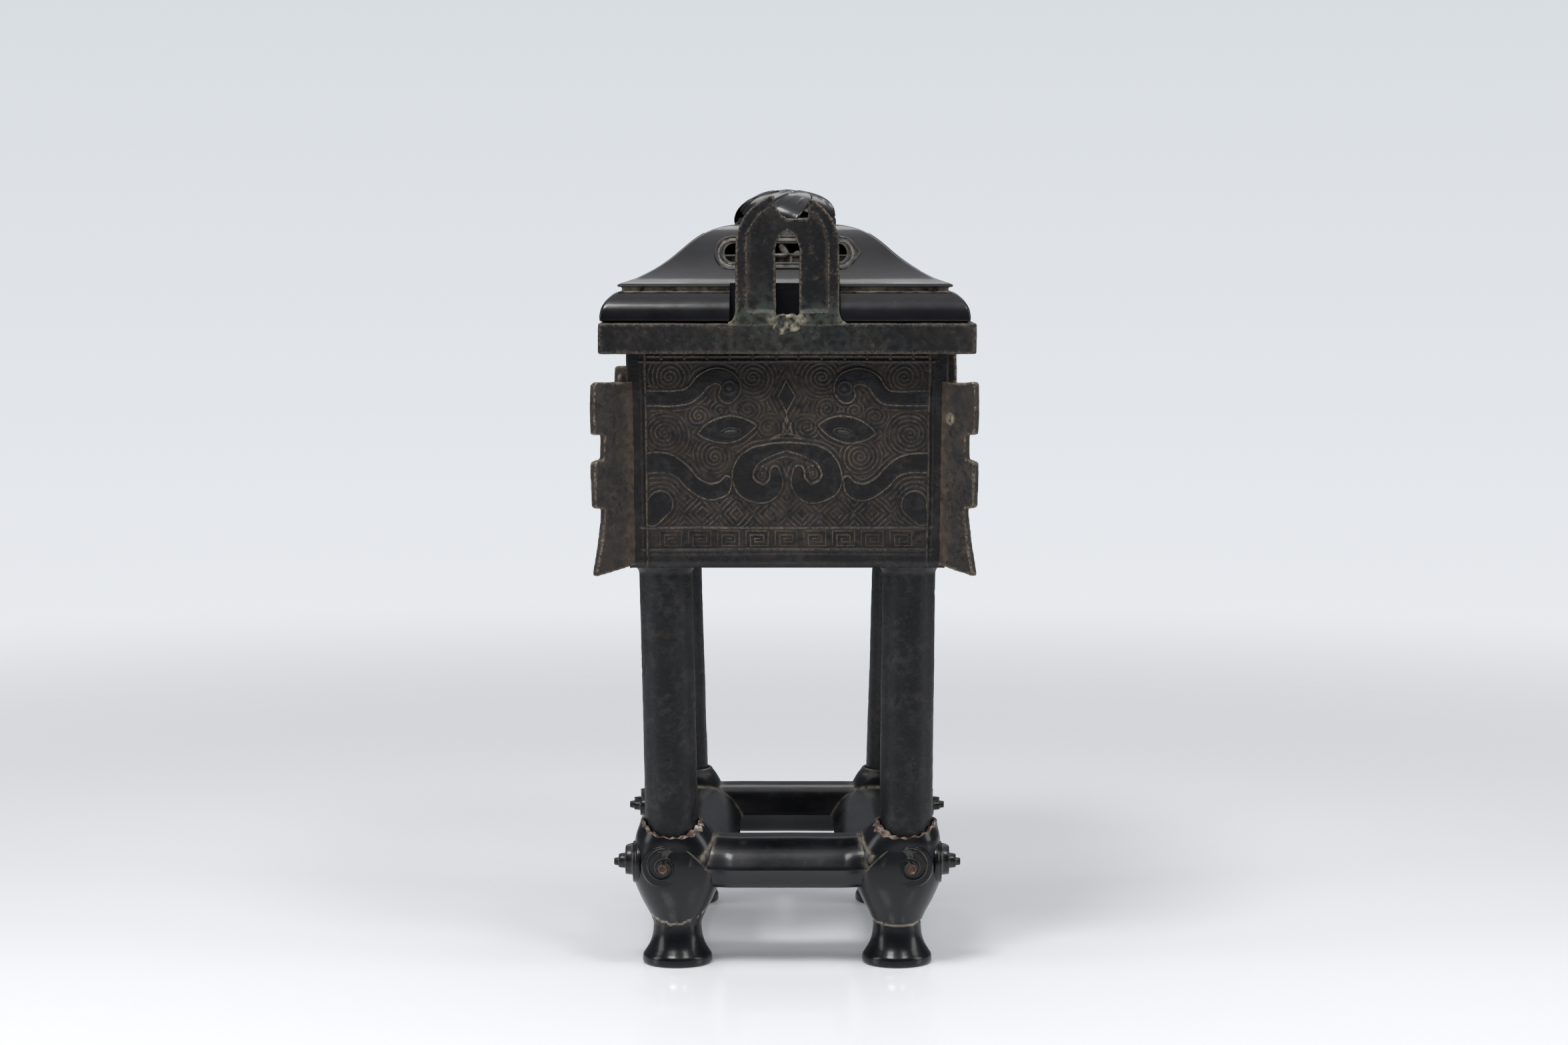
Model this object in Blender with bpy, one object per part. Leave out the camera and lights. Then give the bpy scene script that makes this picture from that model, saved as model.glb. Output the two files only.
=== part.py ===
"""A rectangular bronze ding on four legs, with its pierced wooden lid, its carved finial and
its four-footed wooden stand. Metres, +Z up, short side facing -Y, origin on the ground at the middle."""

import math

import bmesh
import bpy
from mathutils import Matrix, Vector

MM = 0.001

# Clearances
GAP = 0.3 * MM
SOCKET_CLEARANCE = 0.4 * MM
RAIL_CLEARANCE = 0.45 * MM
NOTCH_CLEARANCE = 1.2 * MM
WELD = 0.00001
EMBED = 1.0 * MM

# Bronze body, rim and cavity
BODY_BOTTOM_Z = 136.4 * MM
BODY_HEIGHT = 71.6 * MM
BODY_HALF_X = 53.4 * MM
BODY_HALF_Y = 70.0 * MM
BODY_TAPER = 0.9 * MM
WALL = 4.0 * MM
FLOOR = 4.5 * MM
RIM_OVERHANG = 9.0 * MM
RIM_HEIGHT = 10.3 * MM

# Bronze handles, one over each short side
HANDLE_HALF_WIDTH = 17.1 * MM
HANDLE_THICKNESS = 7.0 * MM
HANDLE_STRAIGHT = 25.0 * MM
HANDLE_ARCH = 17.7 * MM
HANDLE_BORDER = 3.65 * MM
HANDLE_RECESS = 0.6 * MM
SLOT_HALF_WIDTH = 3.9 * MM
SLOT_SILL = 2.4 * MM
SLOT_STRAIGHT = 22.0 * MM
SLOT_POINT = 5.8 * MM
SLOT_KINK_ACROSS = 0.6
SLOT_KINK_UP = 0.62
BREAK_LEFT = 4.2 * MM
BREAK_RIGHT = 7.0 * MM
BREAK_DEPTH = 8.4 * MM
BREAK_SHOULDER = 3.8 * MM
ARCH_STEPS = 10

# Bronze flanges: four at the corners, one in the middle of each long side
FLANGE_THICKNESS = 2.6 * MM
FLANGE_REACH_LEFT = 11.4 * MM
FLANGE_REACH_RIGHT = 9.6 * MM
FLANGE_REACH_MIDDLE = 6.9 * MM
FLANGE_TOP_DROP = 9.2 * MM
FLANGE_NOTCH_DEPTH = 3.0 * MM
FLANGE_NOTCH_TOP = 26.6 * MM
FLANGE_NOTCH_BOTTOM = 35.4 * MM
FLANGE_STEP = 50.6 * MM
FLANGE_STEP_RISE = 0.8 * MM
FLANGE_STEP_DEPTH = 0.4 * MM
FLANGE_FOOT_BACK = 0.3 * MM
FLANGE_TIP_BELOW = 1.8 * MM

# Bronze legs and how far each leans in towards the stand's middle, front left first
LEG_RADIUS = 9.0 * MM
LEG_INSET_X = 12.4 * MM
LEG_INSET_Y = 12.5 * MM
LEG_LEAN = {
    "front_left": 2.0 * MM,
    "front_right": 0.8 * MM,
    "rear_left": 2.7 * MM,
    "rear_right": 2.7 * MM,
}
LEG_SIDES = 16

# Mask relief on the four walls
PANEL_INSET = 6.0 * MM
PANEL_TOP_DROP = 4.0 * MM
FRET_HEIGHT = 6.5 * MM
FRET_BASE = 6.6 * MM
FRET_PITCH = 10.0 * MM
LINE_WIDTH = 0.9 * MM
RELIEF = 0.6 * MM
PUPIL_RELIEF = 1.0 * MM
BOSS_RELIEF = 0.45 * MM
LINE_RELIEF = 0.35 * MM
KEY_RELIEF = 0.4 * MM
BOSS_SIDES = 8
HORN_HALF_START = 2.1 * MM
HORN_HALF_END = 3.0 * MM
SNOUT_HALF_START = 1.9 * MM
SNOUT_HALF_END = 2.0 * MM
JAW_HALF_START = 3.2 * MM
JAW_HALF_END = 1.2 * MM
EYE_HALF_LENGTH = 10.0 * MM
EYE_HALF_HEIGHT = 5.0 * MM
PUPIL_HALF_LENGTH = 3.6 * MM
PUPIL_HALF_HEIGHT = 1.9 * MM
EAR_SPIRAL_RADIUS = 5.6 * MM
CHEEK_SPIRAL_RADIUS = 4.6 * MM
CORNER_CURL_RADIUS = 3.3 * MM
LOZENGE_HALF_WIDTH = 2.2 * MM

# Wooden lid
LID_MARGIN = 1.2 * MM
LID_PROFILE_MM = (
    (1.0, 0.0),
    (0.0, 1.0),
    (0.0, 2.2),
    (0.6, 4.4),
    (2.0, 6.8),
    (3.8, 8.7),
    (5.8, 9.9),
    (7.0, 9.95),
    (7.0, 11.3),
    (5.8, 11.4),
    (5.7, 12.3),
    (8.7, 13.4),
    (12.5, 15.0),
    (18.2, 18.1),
    (23.5, 21.5),
    (29.8, 27.0),
    (34.9, 30.1),
    (40.0, 31.8),
    (43.8, 32.4),
)
LID_CORNER = 1.6 * MM
LID_WALL = 4.5 * MM
LID_LEDGE = 8.0 * MM
LID_HOLLOW_INSET = 0.7 * LID_WALL
LID_HOLLOW_DROP = 0.75 * LID_WALL
LID_TURN = math.radians(-0.6)
NOTCH_HEIGHT = 14.6 * MM
CARTOUCHE_HALF_LENGTH = 23.0 * MM
CARTOUCHE_MIDDLE = 22.8 * MM
CARTOUCHE_HEIGHT_SHORT = 9.7 * MM
CARTOUCHE_HEIGHT_LONG = 11.6 * MM
BAR_THICKNESS = 1.1 * MM
BAR_DEPTH = 2.6 * MM
SCROLL_RADIUS = 3.0 * MM

# Carved wooden finial
FINIAL_HALF_X = 17.2 * MM
FINIAL_HALF_Y = 20.0 * MM
FINIAL_PLINTH = 2.3 * MM
FINIAL_RISE = 10.4 * MM
FINIAL_WALL = 3.2 * MM
FINIAL_LIP = 0.8 * MM
FINIAL_SIDES = 16
FINIAL_SLOTS = 6
FINIAL_SLOT_WIDTH = 1.7 * MM
FINIAL_SLOT_START = 0.30
FINIAL_SLOT_END = 0.82
FINIAL_SLOT_SWEEP = 0.75

# Wooden stand: feet with sockets and volutes, and four rails
FOOT_INSET_X = 3.6 * MM
FOOT_INSET_Y = 3.5 * MM
FOOT_DISC_RADIUS = 11.8 * MM
FOOT_DISC_HEIGHT = 3.0 * MM
FOOT_DISC_CHAMFER = 0.6 * MM
FOOT_DISC_RISE = 1.3 * MM
FOOT_DISC_STEP = 0.9 * MM
FOOT_WAIST_RADIUS = 8.2 * MM
FOOT_WAIST_FLARE = 0.8 * MM
FOOT_WAIST_Z = 14.4 * MM
FOOT_SHOULDER_HALF = 15.0 * MM
FOOT_SHOULDER_Z = 31.0 * MM
FOOT_SHOULDER_ROUND = 0.9 * MM
FOOT_NECK_ROUND = 0.5 * MM
FOOT_THROAT = 0.2 * MM
FOOT_SQUARENESS = 2.8
FOOT_SIDES = 14
COLLAR_TOP_Z = 49.6 * MM
COLLAR_WALL = 1.1 * MM
COLLAR_BREAK_DROP = 5.2 * MM
COLLAR_BREAK_EDGE = ((-1.0, 0.35), (-0.72, 0.62), (-0.45, 1.0), (0.0, 0.78), (0.3, 0.92), (0.62, 0.12))
SOCKET_FLOOR_Z = 40.0 * MM
VOLUTE_OFFSET = 4.4 * MM
VOLUTE_Z = 35.3 * MM
VOLUTE_TIERS_MM = ((6.6, 2.8), (3.3, 2.1), (1.2, 1.6))
BROKEN_VOLUTE_STEPS = 2
VOLUTE_DRAFT = 0.25 * MM
VOLUTE_SIDES = 10
RAIL_OUTER = 16.0 * MM
RAIL_INNER_SHORT = 13.4 * MM
RAIL_INNER_LONG = 20.6 * MM
RAIL_END_TAPER = 22.0 * MM
RAIL_TOP_Z = 44.2 * MM
RAIL_BOTTOM_Z = 27.0 * MM
RAIL_ARRIS_DROP = 1.1 * MM
RAIL_CROWN_DROP = 0.9 * MM

# Worked out from the sizes above
RIM_BOTTOM_Z = BODY_BOTTOM_Z + BODY_HEIGHT
RIM_TOP_Z = RIM_BOTTOM_Z + RIM_HEIGHT
RIM_HALF_X = BODY_HALF_X + RIM_OVERHANG
RIM_HALF_Y = BODY_HALF_Y + RIM_OVERHANG
LEG_X = BODY_HALF_X - LEG_INSET_X
LEG_Y = BODY_HALF_Y - LEG_INSET_Y
FOOT_X = LEG_X - FOOT_INSET_X
FOOT_Y = LEG_Y - FOOT_INSET_Y
LEG_BOTTOM_Z = SOCKET_FLOOR_Z + GAP
LID_BOTTOM_Z = RIM_TOP_Z + GAP
LID_HALF_X = RIM_HALF_X - LID_MARGIN
LID_HALF_Y = RIM_HALF_Y - LID_MARGIN
LID_HEIGHT = LID_PROFILE_MM[-1][1] * MM
FINIAL_Z = LID_BOTTOM_Z + LID_HEIGHT + GAP
booleans = []
CORNERS = {
    "front_left": (-1, -1),
    "front_right": (1, -1),
    "rear_left": (-1, 1),
    "rear_right": (1, 1),
}


# Scene and helpers


def clear_scene():
    """Removes every object, so the script can be run again."""
    for obj in list(bpy.data.objects):
        bpy.data.objects.remove(obj, do_unlink=True)


def make_collection(name):
    """A collection linked to the scene."""
    collection = bpy.data.collections.new(name)
    bpy.context.scene.collection.children.link(collection)
    return collection


def make_material(name, colour, roughness, metallic):
    """A Principled material with plain values."""
    material = bpy.data.materials.new(name)
    material.use_nodes = True
    shader = material.node_tree.nodes["Principled BSDF"]
    shader.inputs["Base Color"].default_value = (*colour, 1.0)
    shader.inputs["Roughness"].default_value = roughness
    shader.inputs["Metallic"].default_value = metallic
    return material


def object_from_bmesh(name, bm, collection):
    """Turns a bmesh into an object with outward faces."""
    bmesh.ops.recalc_face_normals(bm, faces=bm.faces)
    mesh = bpy.data.meshes.new(name)
    bm.to_mesh(mesh)
    bm.free()
    obj = bpy.data.objects.new(name, mesh)
    collection.objects.link(obj)
    return obj


def as_cutter(obj):
    """Marks an object as a tool of the model and not a piece of it."""
    obj.hide_render = True
    obj.display_type = "WIRE"
    return obj


def box(name, low, high, collection):
    """A box between two corners."""
    bm = bmesh.new()
    bmesh.ops.create_cube(bm, size=1.0)
    for vert in bm.verts:
        for axis in range(3):
            middle = (low[axis] + high[axis]) / 2
            vert.co[axis] = middle + vert.co[axis] * (high[axis] - low[axis])
    return object_from_bmesh(name, bm, collection)


def tapered_box(name, half_x, half_y, low_z, high_z, narrowing, collection):
    """A box whose bottom is narrower than its top by the same amount on every side."""
    bm = bmesh.new()
    bmesh.ops.create_cube(bm, size=2.0)
    for vert in bm.verts:
        narrow = narrowing if vert.co.z < 0 else 0.0
        vert.co.x *= half_x - narrow
        vert.co.y *= half_y - narrow
        vert.co.z = low_z if vert.co.z < 0 else high_z
    return object_from_bmesh(name, bm, collection)


def rod(name, start, end, radius, sides, collection, end_radius=None):
    """A round bar or cone between two points."""
    start, end = Vector(start), Vector(end)
    bm = bmesh.new()
    bmesh.ops.create_cone(
        bm,
        cap_ends=True,
        segments=sides,
        radius1=radius,
        radius2=radius if end_radius is None else end_radius,
        depth=(end - start).length,
    )
    turn = (end - start).to_track_quat("Z", "Y").to_matrix().to_4x4()
    bmesh.ops.transform(bm, matrix=Matrix.Translation((start + end) / 2) @ turn, verts=bm.verts)
    return object_from_bmesh(name, bm, collection)


def loft(name, rings, collection):
    """A closed solid through rings of equally many points, capped at both ends."""
    bm = bmesh.new()
    loops = [[bm.verts.new(point) for point in ring] for ring in rings]
    for lower, upper in zip(loops, loops[1:]):
        for index, vert in enumerate(lower):
            after = (index + 1) % len(lower)
            bm.faces.new((vert, lower[after], upper[after], upper[index]))
    bm.faces.new(loops[0])
    bm.faces.new(loops[-1])
    return object_from_bmesh(name, bm, collection)


def plate(name, outline, frame, low, high, collection):
    """A flat outline in a frame's x and y, thick from low to high along its z."""
    curve = bpy.data.curves.new(name, "CURVE")
    curve.dimensions = "2D"
    curve.fill_mode = "BOTH"
    curve.extrude = (high - low) / 2
    spline = curve.splines.new("POLY")
    spline.points.add(len(outline) - 1)
    for point, (x, y) in zip(spline.points, outline):
        point.co = (x, y, 0.0, 1.0)
    spline.use_cyclic_u = True
    drawn = bpy.data.objects.new(name + "_outline", curve)
    collection.objects.link(drawn)
    bpy.context.view_layer.update()
    evaluated = drawn.evaluated_get(bpy.context.evaluated_depsgraph_get())
    mesh = bpy.data.meshes.new_from_object(evaluated)
    bpy.data.objects.remove(drawn, do_unlink=True)
    bm = bmesh.new()
    bm.from_mesh(mesh)
    bpy.data.meshes.remove(mesh)
    bmesh.ops.remove_doubles(bm, verts=bm.verts, dist=WELD)
    bmesh.ops.transform(
        bm, matrix=frame @ Matrix.Translation((0, 0, (low + high) / 2)), verts=bm.verts
    )
    return object_from_bmesh(name, bm, collection)


def facing(origin, across, up):
    """A frame at origin whose x runs across, whose y runs up and whose z comes out."""
    across = Vector(across).normalized()
    out = across.cross(Vector(up)).normalized()
    rows = Matrix((across, out.cross(across), out)).transposed().to_4x4()
    return Matrix.Translation(Vector(origin)) @ rows


def join_and_cut(piece, additions, cuts, solver="EXACT"):
    """Notes what a piece is joined with and cut by, each a collection or nothing."""
    for operation, tools in (("UNION", additions), ("DIFFERENCE", cuts)):
        if tools is not None:
            finish_tools(tools)
            booleans.append((piece, operation, tools, solver))


def add_booleans():
    """Adds the noted Booleans last, so that drawing an outline never works them out again."""
    for piece, operation, tools, solver in booleans:
        modifier = piece.modifiers.new(operation.lower(), "BOOLEAN")
        modifier.operation = operation
        modifier.solver = solver
        modifier.operand_type = "COLLECTION"
        modifier.collection = tools


def tool_collection(name, parent):
    """A collection of cutters and additions inside another."""
    collection = bpy.data.collections.new(name)
    parent.children.link(collection)
    return collection


def finish_tools(collection):
    """Hides every tool in a collection from the render."""
    for obj in collection.objects:
        as_cutter(obj)


def arc_points(centre, radius_x, radius_y, start, end, steps):
    """Points on an elliptical arc, both ends included, angles in degrees."""
    points = []
    for step in range(steps + 1):
        angle = math.radians(start + (end - start) * step / steps)
        x = centre[0] + radius_x * math.cos(angle)
        points.append((x, centre[1] + radius_y * math.sin(angle)))
    return points


def smooth_points(points, steps):
    """Points along a Catmull-Rom curve through the given points."""
    ends = [points[0], *points, points[-1]]
    out = []
    for before, here, after, beyond in zip(ends, ends[1:], ends[2:], ends[3:]):
        for step in range(steps):
            t = step / steps
            out.append(
                tuple(
                    0.5
                    * (
                        2 * b
                        + (c - a) * t
                        + (2 * a - 5 * b + 4 * c - d) * t * t
                        + (3 * b - a - 3 * c + d) * t**3
                    )
                    for a, b, c, d in zip(before, here, after, beyond)
                )
            )
    out.append(points[-1])
    return out


def band_outline(centre_line, start_half, end_half):
    """The outline of a band along a centre line, its half width changing evenly."""
    left, right = [], []
    last = len(centre_line) - 1
    for index, (x, y) in enumerate(centre_line):
        before = centre_line[max(index - 1, 0)]
        after = centre_line[min(index + 1, last)]
        along = Vector((after[0] - before[0], after[1] - before[1])).normalized()
        half = start_half + (end_half - start_half) * index / last
        left.append((x - along.y * half, y + along.x * half))
        right.append((x + along.y * half, y - along.x * half))
    return left + right[::-1]


def mirrored(outline):
    """The same outline on the other side of its upright axis."""
    return [(-x, y) for x, y in reversed(outline)]


# Bronze ding


def flange_outline(reach, top_z):
    """The notched edge of a flange: x is out from the wall, y is height."""
    top = RIM_BOTTOM_Z - top_z
    inner = -EMBED * 1.5
    notch = reach - FLANGE_NOTCH_DEPTH
    return [
        (inner, top),
        (reach, top),
        (reach, RIM_BOTTOM_Z - FLANGE_NOTCH_TOP),
        (notch, RIM_BOTTOM_Z - FLANGE_NOTCH_TOP),
        (notch, RIM_BOTTOM_Z - FLANGE_NOTCH_BOTTOM),
        (reach, RIM_BOTTOM_Z - FLANGE_NOTCH_BOTTOM),
        (reach - FLANGE_FOOT_BACK, RIM_BOTTOM_Z - FLANGE_STEP),
        (notch - FLANGE_STEP_DEPTH, RIM_BOTTOM_Z - FLANGE_STEP - FLANGE_STEP_RISE),
        (reach - FLANGE_FOOT_BACK, BODY_BOTTOM_Z - FLANGE_TIP_BELOW),
        (inner, BODY_BOTTOM_Z + EMBED),
    ]


def add_flanges(castings):
    """Corner flanges at 45 degrees and one flange up the middle of each long side."""
    half = FLANGE_THICKNESS / 2
    for name, (side_x, side_y) in CORNERS.items():
        reach = FLANGE_REACH_LEFT if side_x < 0 else FLANGE_REACH_RIGHT
        outline = [(x * math.sqrt(2), z) for x, z in flange_outline(reach, FLANGE_TOP_DROP)]
        corner = (side_x * (BODY_HALF_X - BODY_TAPER / 2), side_y * (BODY_HALF_Y - BODY_TAPER / 2), 0)
        frame = facing(corner, (side_x, side_y, 0), (0, 0, 1))
        plate("flange_" + name, outline, frame, -half, half, castings)
    for side, top_drop in ((-1, FLANGE_TOP_DROP), (1, -EMBED)):
        outline = flange_outline(FLANGE_REACH_MIDDLE, top_drop)
        frame = facing((side * (BODY_HALF_X - BODY_TAPER / 2), 0, 0), (side, 0, 0), (0, 0, 1))
        plate(f"flange_middle_{side}", outline, frame, -half, half, castings)


def leg_axis(name):
    """The top and bottom ends of a leg's axis."""
    side_x, side_y = CORNERS[name]
    top = Vector((side_x * LEG_X, side_y * LEG_Y, BODY_BOTTOM_Z))
    bottom = Vector((side_x * (LEG_X - LEG_LEAN[name]), side_y * LEG_Y, LEG_BOTTOM_Z))
    return top, bottom


def handle_outline(inset):
    """The arch of a handle, drawn this far inside its edge, from the rim up."""
    base = RIM_BOTTOM_Z + EMBED if inset == 0 else RIM_TOP_Z + HANDLE_BORDER
    spring = RIM_TOP_Z + HANDLE_STRAIGHT
    half = HANDLE_HALF_WIDTH - inset
    arch = arc_points((0, spring), half, HANDLE_ARCH - inset, 0, 180, ARCH_STEPS)
    return [(-half, base), (half, base), *arch]


def slot_outline():
    """The narrow pointed opening in a handle."""
    sill = RIM_TOP_Z + SLOT_SILL
    spring = sill + SLOT_STRAIGHT
    half = SLOT_HALF_WIDTH
    kink_x = half * SLOT_KINK_ACROSS
    kink_z = spring + SLOT_POINT * SLOT_KINK_UP
    return [
        (-half, sill),
        (half, sill),
        (half, spring),
        (kink_x, kink_z),
        (0, spring + SLOT_POINT),
        (-kink_x, kink_z),
        (-half, spring),
    ]


def handle_frame(side_y):
    """The frame of a handle's outer face, z coming out of the vessel."""
    return facing((0, side_y * RIM_HALF_Y, 0), (-side_y, 0, 0), (0, 0, 1))


def crown_break_outline():
    """The bite missing from the crown of the near handle."""
    crown = RIM_TOP_Z + HANDLE_STRAIGHT + HANDLE_ARCH
    floor = crown - BREAK_DEPTH
    return [
        (-BREAK_LEFT, crown + EMBED),
        (-BREAK_LEFT, floor + BREAK_SHOULDER),
        (-BREAK_LEFT + BREAK_SHOULDER, floor),
        (BREAK_RIGHT, floor),
        (BREAK_RIGHT, crown + EMBED),
    ]


def add_handles(castings, cuts):
    """Two upright arched handles, flush with the rim's short sides."""
    for side_y in (-1, 1):
        frame = handle_frame(side_y)
        plate(f"handle_{side_y}", handle_outline(0), frame, -HANDLE_THICKNESS, 0, castings)
        recess = handle_outline(HANDLE_BORDER)
        plate(f"handle_recess_{side_y}", recess, frame, -HANDLE_RECESS, EMBED, cuts)
        slot = slot_outline()
        plate(f"slot_{side_y}", slot, frame, -HANDLE_THICKNESS - EMBED, 2 * EMBED, cuts)
    bite = crown_break_outline()
    plate("crown_break", bite, handle_frame(-1), -HANDLE_THICKNESS - EMBED, 2 * EMBED, cuts)


def lens_outline(centre, half_length, half_height, steps):
    """An almond shape between two arcs."""
    top = arc_points(centre, half_length, half_height, 0, 180, steps)
    bottom = arc_points(centre, half_length, half_height, 180, 360, steps)
    outline = top[:-1] + bottom[:-1]
    return [(x, centre[1] + (y - centre[1]) * 0.8) for x, y in outline]


def mask_shapes(half, height, base):
    """The raised plain forms of half a mask, on a panel this wide and high."""

    def at(u, v):
        return (u * half, base + v * height)

    horn = smooth_points([at(0.98, 0.80), at(0.70, 0.80), at(0.53, 0.92), at(0.39, 0.83)], 2)
    snout = smooth_points(
        [
            at(0.03, 0.52),
            at(0.22, 0.46),
            at(0.35, 0.36),
            at(0.31, 0.22),
            at(0.17, 0.18),
            at(0.08, 0.27),
            at(0.15, 0.35),
        ],
        1,
    )
    jaw = smooth_points([at(0.97, 0.39), at(0.80, 0.36), at(0.62, 0.24), at(0.48, 0.20), at(0.41, 0.26)], 1)
    eye = lens_outline(at(0.40, 0.585), EYE_HALF_LENGTH, EYE_HALF_HEIGHT, 5)
    pupil = lens_outline(at(0.39, 0.585), PUPIL_HALF_LENGTH, PUPIL_HALF_HEIGHT, 3)
    shapes = [
        (band_outline(horn, HORN_HALF_START, HORN_HALF_END), RELIEF),
        (band_outline(snout, SNOUT_HALF_START, SNOUT_HALF_END), RELIEF),
        (band_outline(jaw, JAW_HALF_START, JAW_HALF_END), RELIEF),
        (eye, RELIEF),
        (pupil, PUPIL_RELIEF),
    ]
    bosses = (
        (at(0.86, 0.58), EAR_SPIRAL_RADIUS),
        (at(0.53, 0.43), CHEEK_SPIRAL_RADIUS),
        (at(0.89, 0.13), CORNER_CURL_RADIUS),
    )
    for centre, radius in bosses:
        ring = arc_points(centre, radius, radius, 0, 360, BOSS_SIDES)[:-1]
        shapes.append((ring, BOSS_RELIEF))
    return shapes


def add_relief(name, half_wall, frame, has_flange, additions):
    """Frame lines, mask and fret on one wall, drawn in the wall's own frame."""
    half = half_wall - PANEL_INSET
    base = FRET_BASE + FRET_HEIGHT + LINE_WIDTH
    height = BODY_HEIGHT - PANEL_TOP_DROP - base
    line = LINE_WIDTH / 2
    strips = [
        (-half - line, -half + line, FRET_BASE - LINE_WIDTH, BODY_HEIGHT),
        (half - line, half + line, FRET_BASE - LINE_WIDTH, BODY_HEIGHT),
        (-half, half, FRET_BASE - LINE_WIDTH, FRET_BASE),
        (-half, half, base - LINE_WIDTH, base),
        (-half, half, base + height - line, base + height + line),
    ]
    for index, (left, right, low, high) in enumerate(strips):
        outline = [(left, low), (right, low), (right, high), (left, high)]
        plate(f"{name}_line_{index}", outline, frame, -EMBED, LINE_RELIEF, additions)
    for index, (outline, rise) in enumerate(mask_shapes(half, height, base)):
        plate(f"{name}_right_{index}", outline, frame, -EMBED, rise, additions)
        plate(f"{name}_left_{index}", mirrored(outline), frame, -EMBED, rise, additions)
    if not has_flange:
        low, middle, high = (base + height * share for share in (0.72, 0.81, 0.90))
        lozenge = [(0, low), (LOZENGE_HALF_WIDTH, middle), (0, high), (-LOZENGE_HALF_WIDTH, middle)]
        plate(f"{name}_lozenge", lozenge, frame, -EMBED, PUPIL_RELIEF, additions)
    keys = int((2 * half - FRET_PITCH / 2) // FRET_PITCH)
    for index in range(keys):
        x = (index - (keys - 1) / 2) * FRET_PITCH
        half_key = FRET_HEIGHT / 2 - LINE_WIDTH
        low = FRET_BASE + LINE_WIDTH
        key = [
            (x - half_key, low),
            (x + half_key, low),
            (x + half_key, low + 2 * half_key),
            (x - half_key, low + 2 * half_key),
        ]
        plate(f"{name}_key_{index}", key, frame, -EMBED, KEY_RELIEF, additions)


def wall_frame(side_x, side_y):
    """The frame of a sloping wall, at the middle of its bottom edge."""
    bottom_x = BODY_HALF_X - BODY_TAPER
    bottom_y = BODY_HALF_Y - BODY_TAPER
    origin = (side_x * bottom_x, side_y * bottom_y, BODY_BOTTOM_Z)
    up = (side_x * BODY_TAPER, side_y * BODY_TAPER, BODY_HEIGHT)
    return facing(origin, (-side_y, side_x, 0), up)


def make_ding(parts, tools, material):
    """The whole bronze: one casting, hollow and open under the lid."""
    castings = tool_collection("ding_castings", tools)
    cuts = tool_collection("ding_cuts", tools)
    ding = tapered_box(
        "ding", BODY_HALF_X, BODY_HALF_Y, BODY_BOTTOM_Z, RIM_BOTTOM_Z + EMBED, BODY_TAPER, parts
    )
    box(
        "rim",
        (-RIM_HALF_X, -RIM_HALF_Y, RIM_BOTTOM_Z),
        (RIM_HALF_X, RIM_HALF_Y, RIM_TOP_Z),
        castings,
    )
    add_flanges(castings)
    add_handles(castings, cuts)
    for name in CORNERS:
        top, bottom = leg_axis(name)
        into_floor = top + (top - bottom).normalized() * FLOOR / 2
        rod("leg_" + name, bottom, into_floor, LEG_RADIUS, LEG_SIDES, castings)
    add_relief("front", BODY_HALF_X, wall_frame(0, -1), False, castings)
    add_relief("rear", BODY_HALF_X, wall_frame(0, 1), False, castings)
    add_relief("left", BODY_HALF_Y, wall_frame(-1, 0), True, castings)
    add_relief("right", BODY_HALF_Y, wall_frame(1, 0), True, castings)
    tapered_box(
        "cavity",
        BODY_HALF_X - WALL,
        BODY_HALF_Y - WALL,
        BODY_BOTTOM_Z + FLOOR,
        RIM_TOP_Z + EMBED,
        BODY_TAPER,
        cuts,
    )
    join_and_cut(ding, castings, cuts, "MANIFOLD")
    ding.data.materials.append(material)
    return ding


# Wooden lid


def rectangle_ring(half_x, half_y, corner, z):
    """A rectangle with small rounded corners at one height."""
    ring = []
    for quarter, (side_x, side_y) in enumerate(((1, 1), (-1, 1), (-1, -1), (1, -1))):
        for step in range(2):
            angle = math.radians(90 * quarter + 90 * step)
            x = side_x * (half_x - corner) + corner * math.cos(angle)
            y = side_y * (half_y - corner) + corner * math.sin(angle)
            ring.append((x, y, z))
    return ring


def lid_inset(height):
    """How far in from the lid's edge its surface lies at a height above its bottom, above the ovolo."""
    slope = [(rise, inset) for inset, rise in LID_PROFILE_MM[9:]]
    height_mm = height / MM
    for (low, inset_low), (high, inset_high) in zip(slope, slope[1:]):
        if low <= height_mm <= high:
            share = (height_mm - low) / (high - low)
            return (inset_low + (inset_high - inset_low) * share) * MM
    return slope[-1][1] * MM


def stadium_outline(half_length, low_z, height):
    """A long opening with round ends."""
    radius = height / 2
    middle = low_z + radius
    right = arc_points((half_length - radius, middle), radius, radius, -90, 90, 6)
    left = arc_points((radius - half_length, middle), radius, radius, 90, 270, 6)
    return right + left


def scroll_outlines(centre_z):
    """A leaf rising from the bar in the middle of a cartouche, and the stalk and bud under it."""
    reach = SCROLL_RADIUS
    leaf = lens_outline((0, 0), 1.1 * reach, 0.5 * reach, 4)
    cos, sin = math.cos(math.radians(115)), math.sin(math.radians(115))
    leaf = [(x * cos - y * sin - 0.5 * reach, centre_z + x * sin + y * cos + 0.6 * reach) for x, y in leaf]
    stalk_line = [(0.7 * reach, centre_z), (0.1 * reach, centre_z - 1.2 * reach)]
    bud = arc_points((0, centre_z - 1.3 * reach), 0.4 * reach, 0.4 * reach, 0, 360, 7)[:-1]
    return [leaf, band_outline(stalk_line, BAR_THICKNESS * 0.8, BAR_THICKNESS * 0.4), bud]


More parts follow.
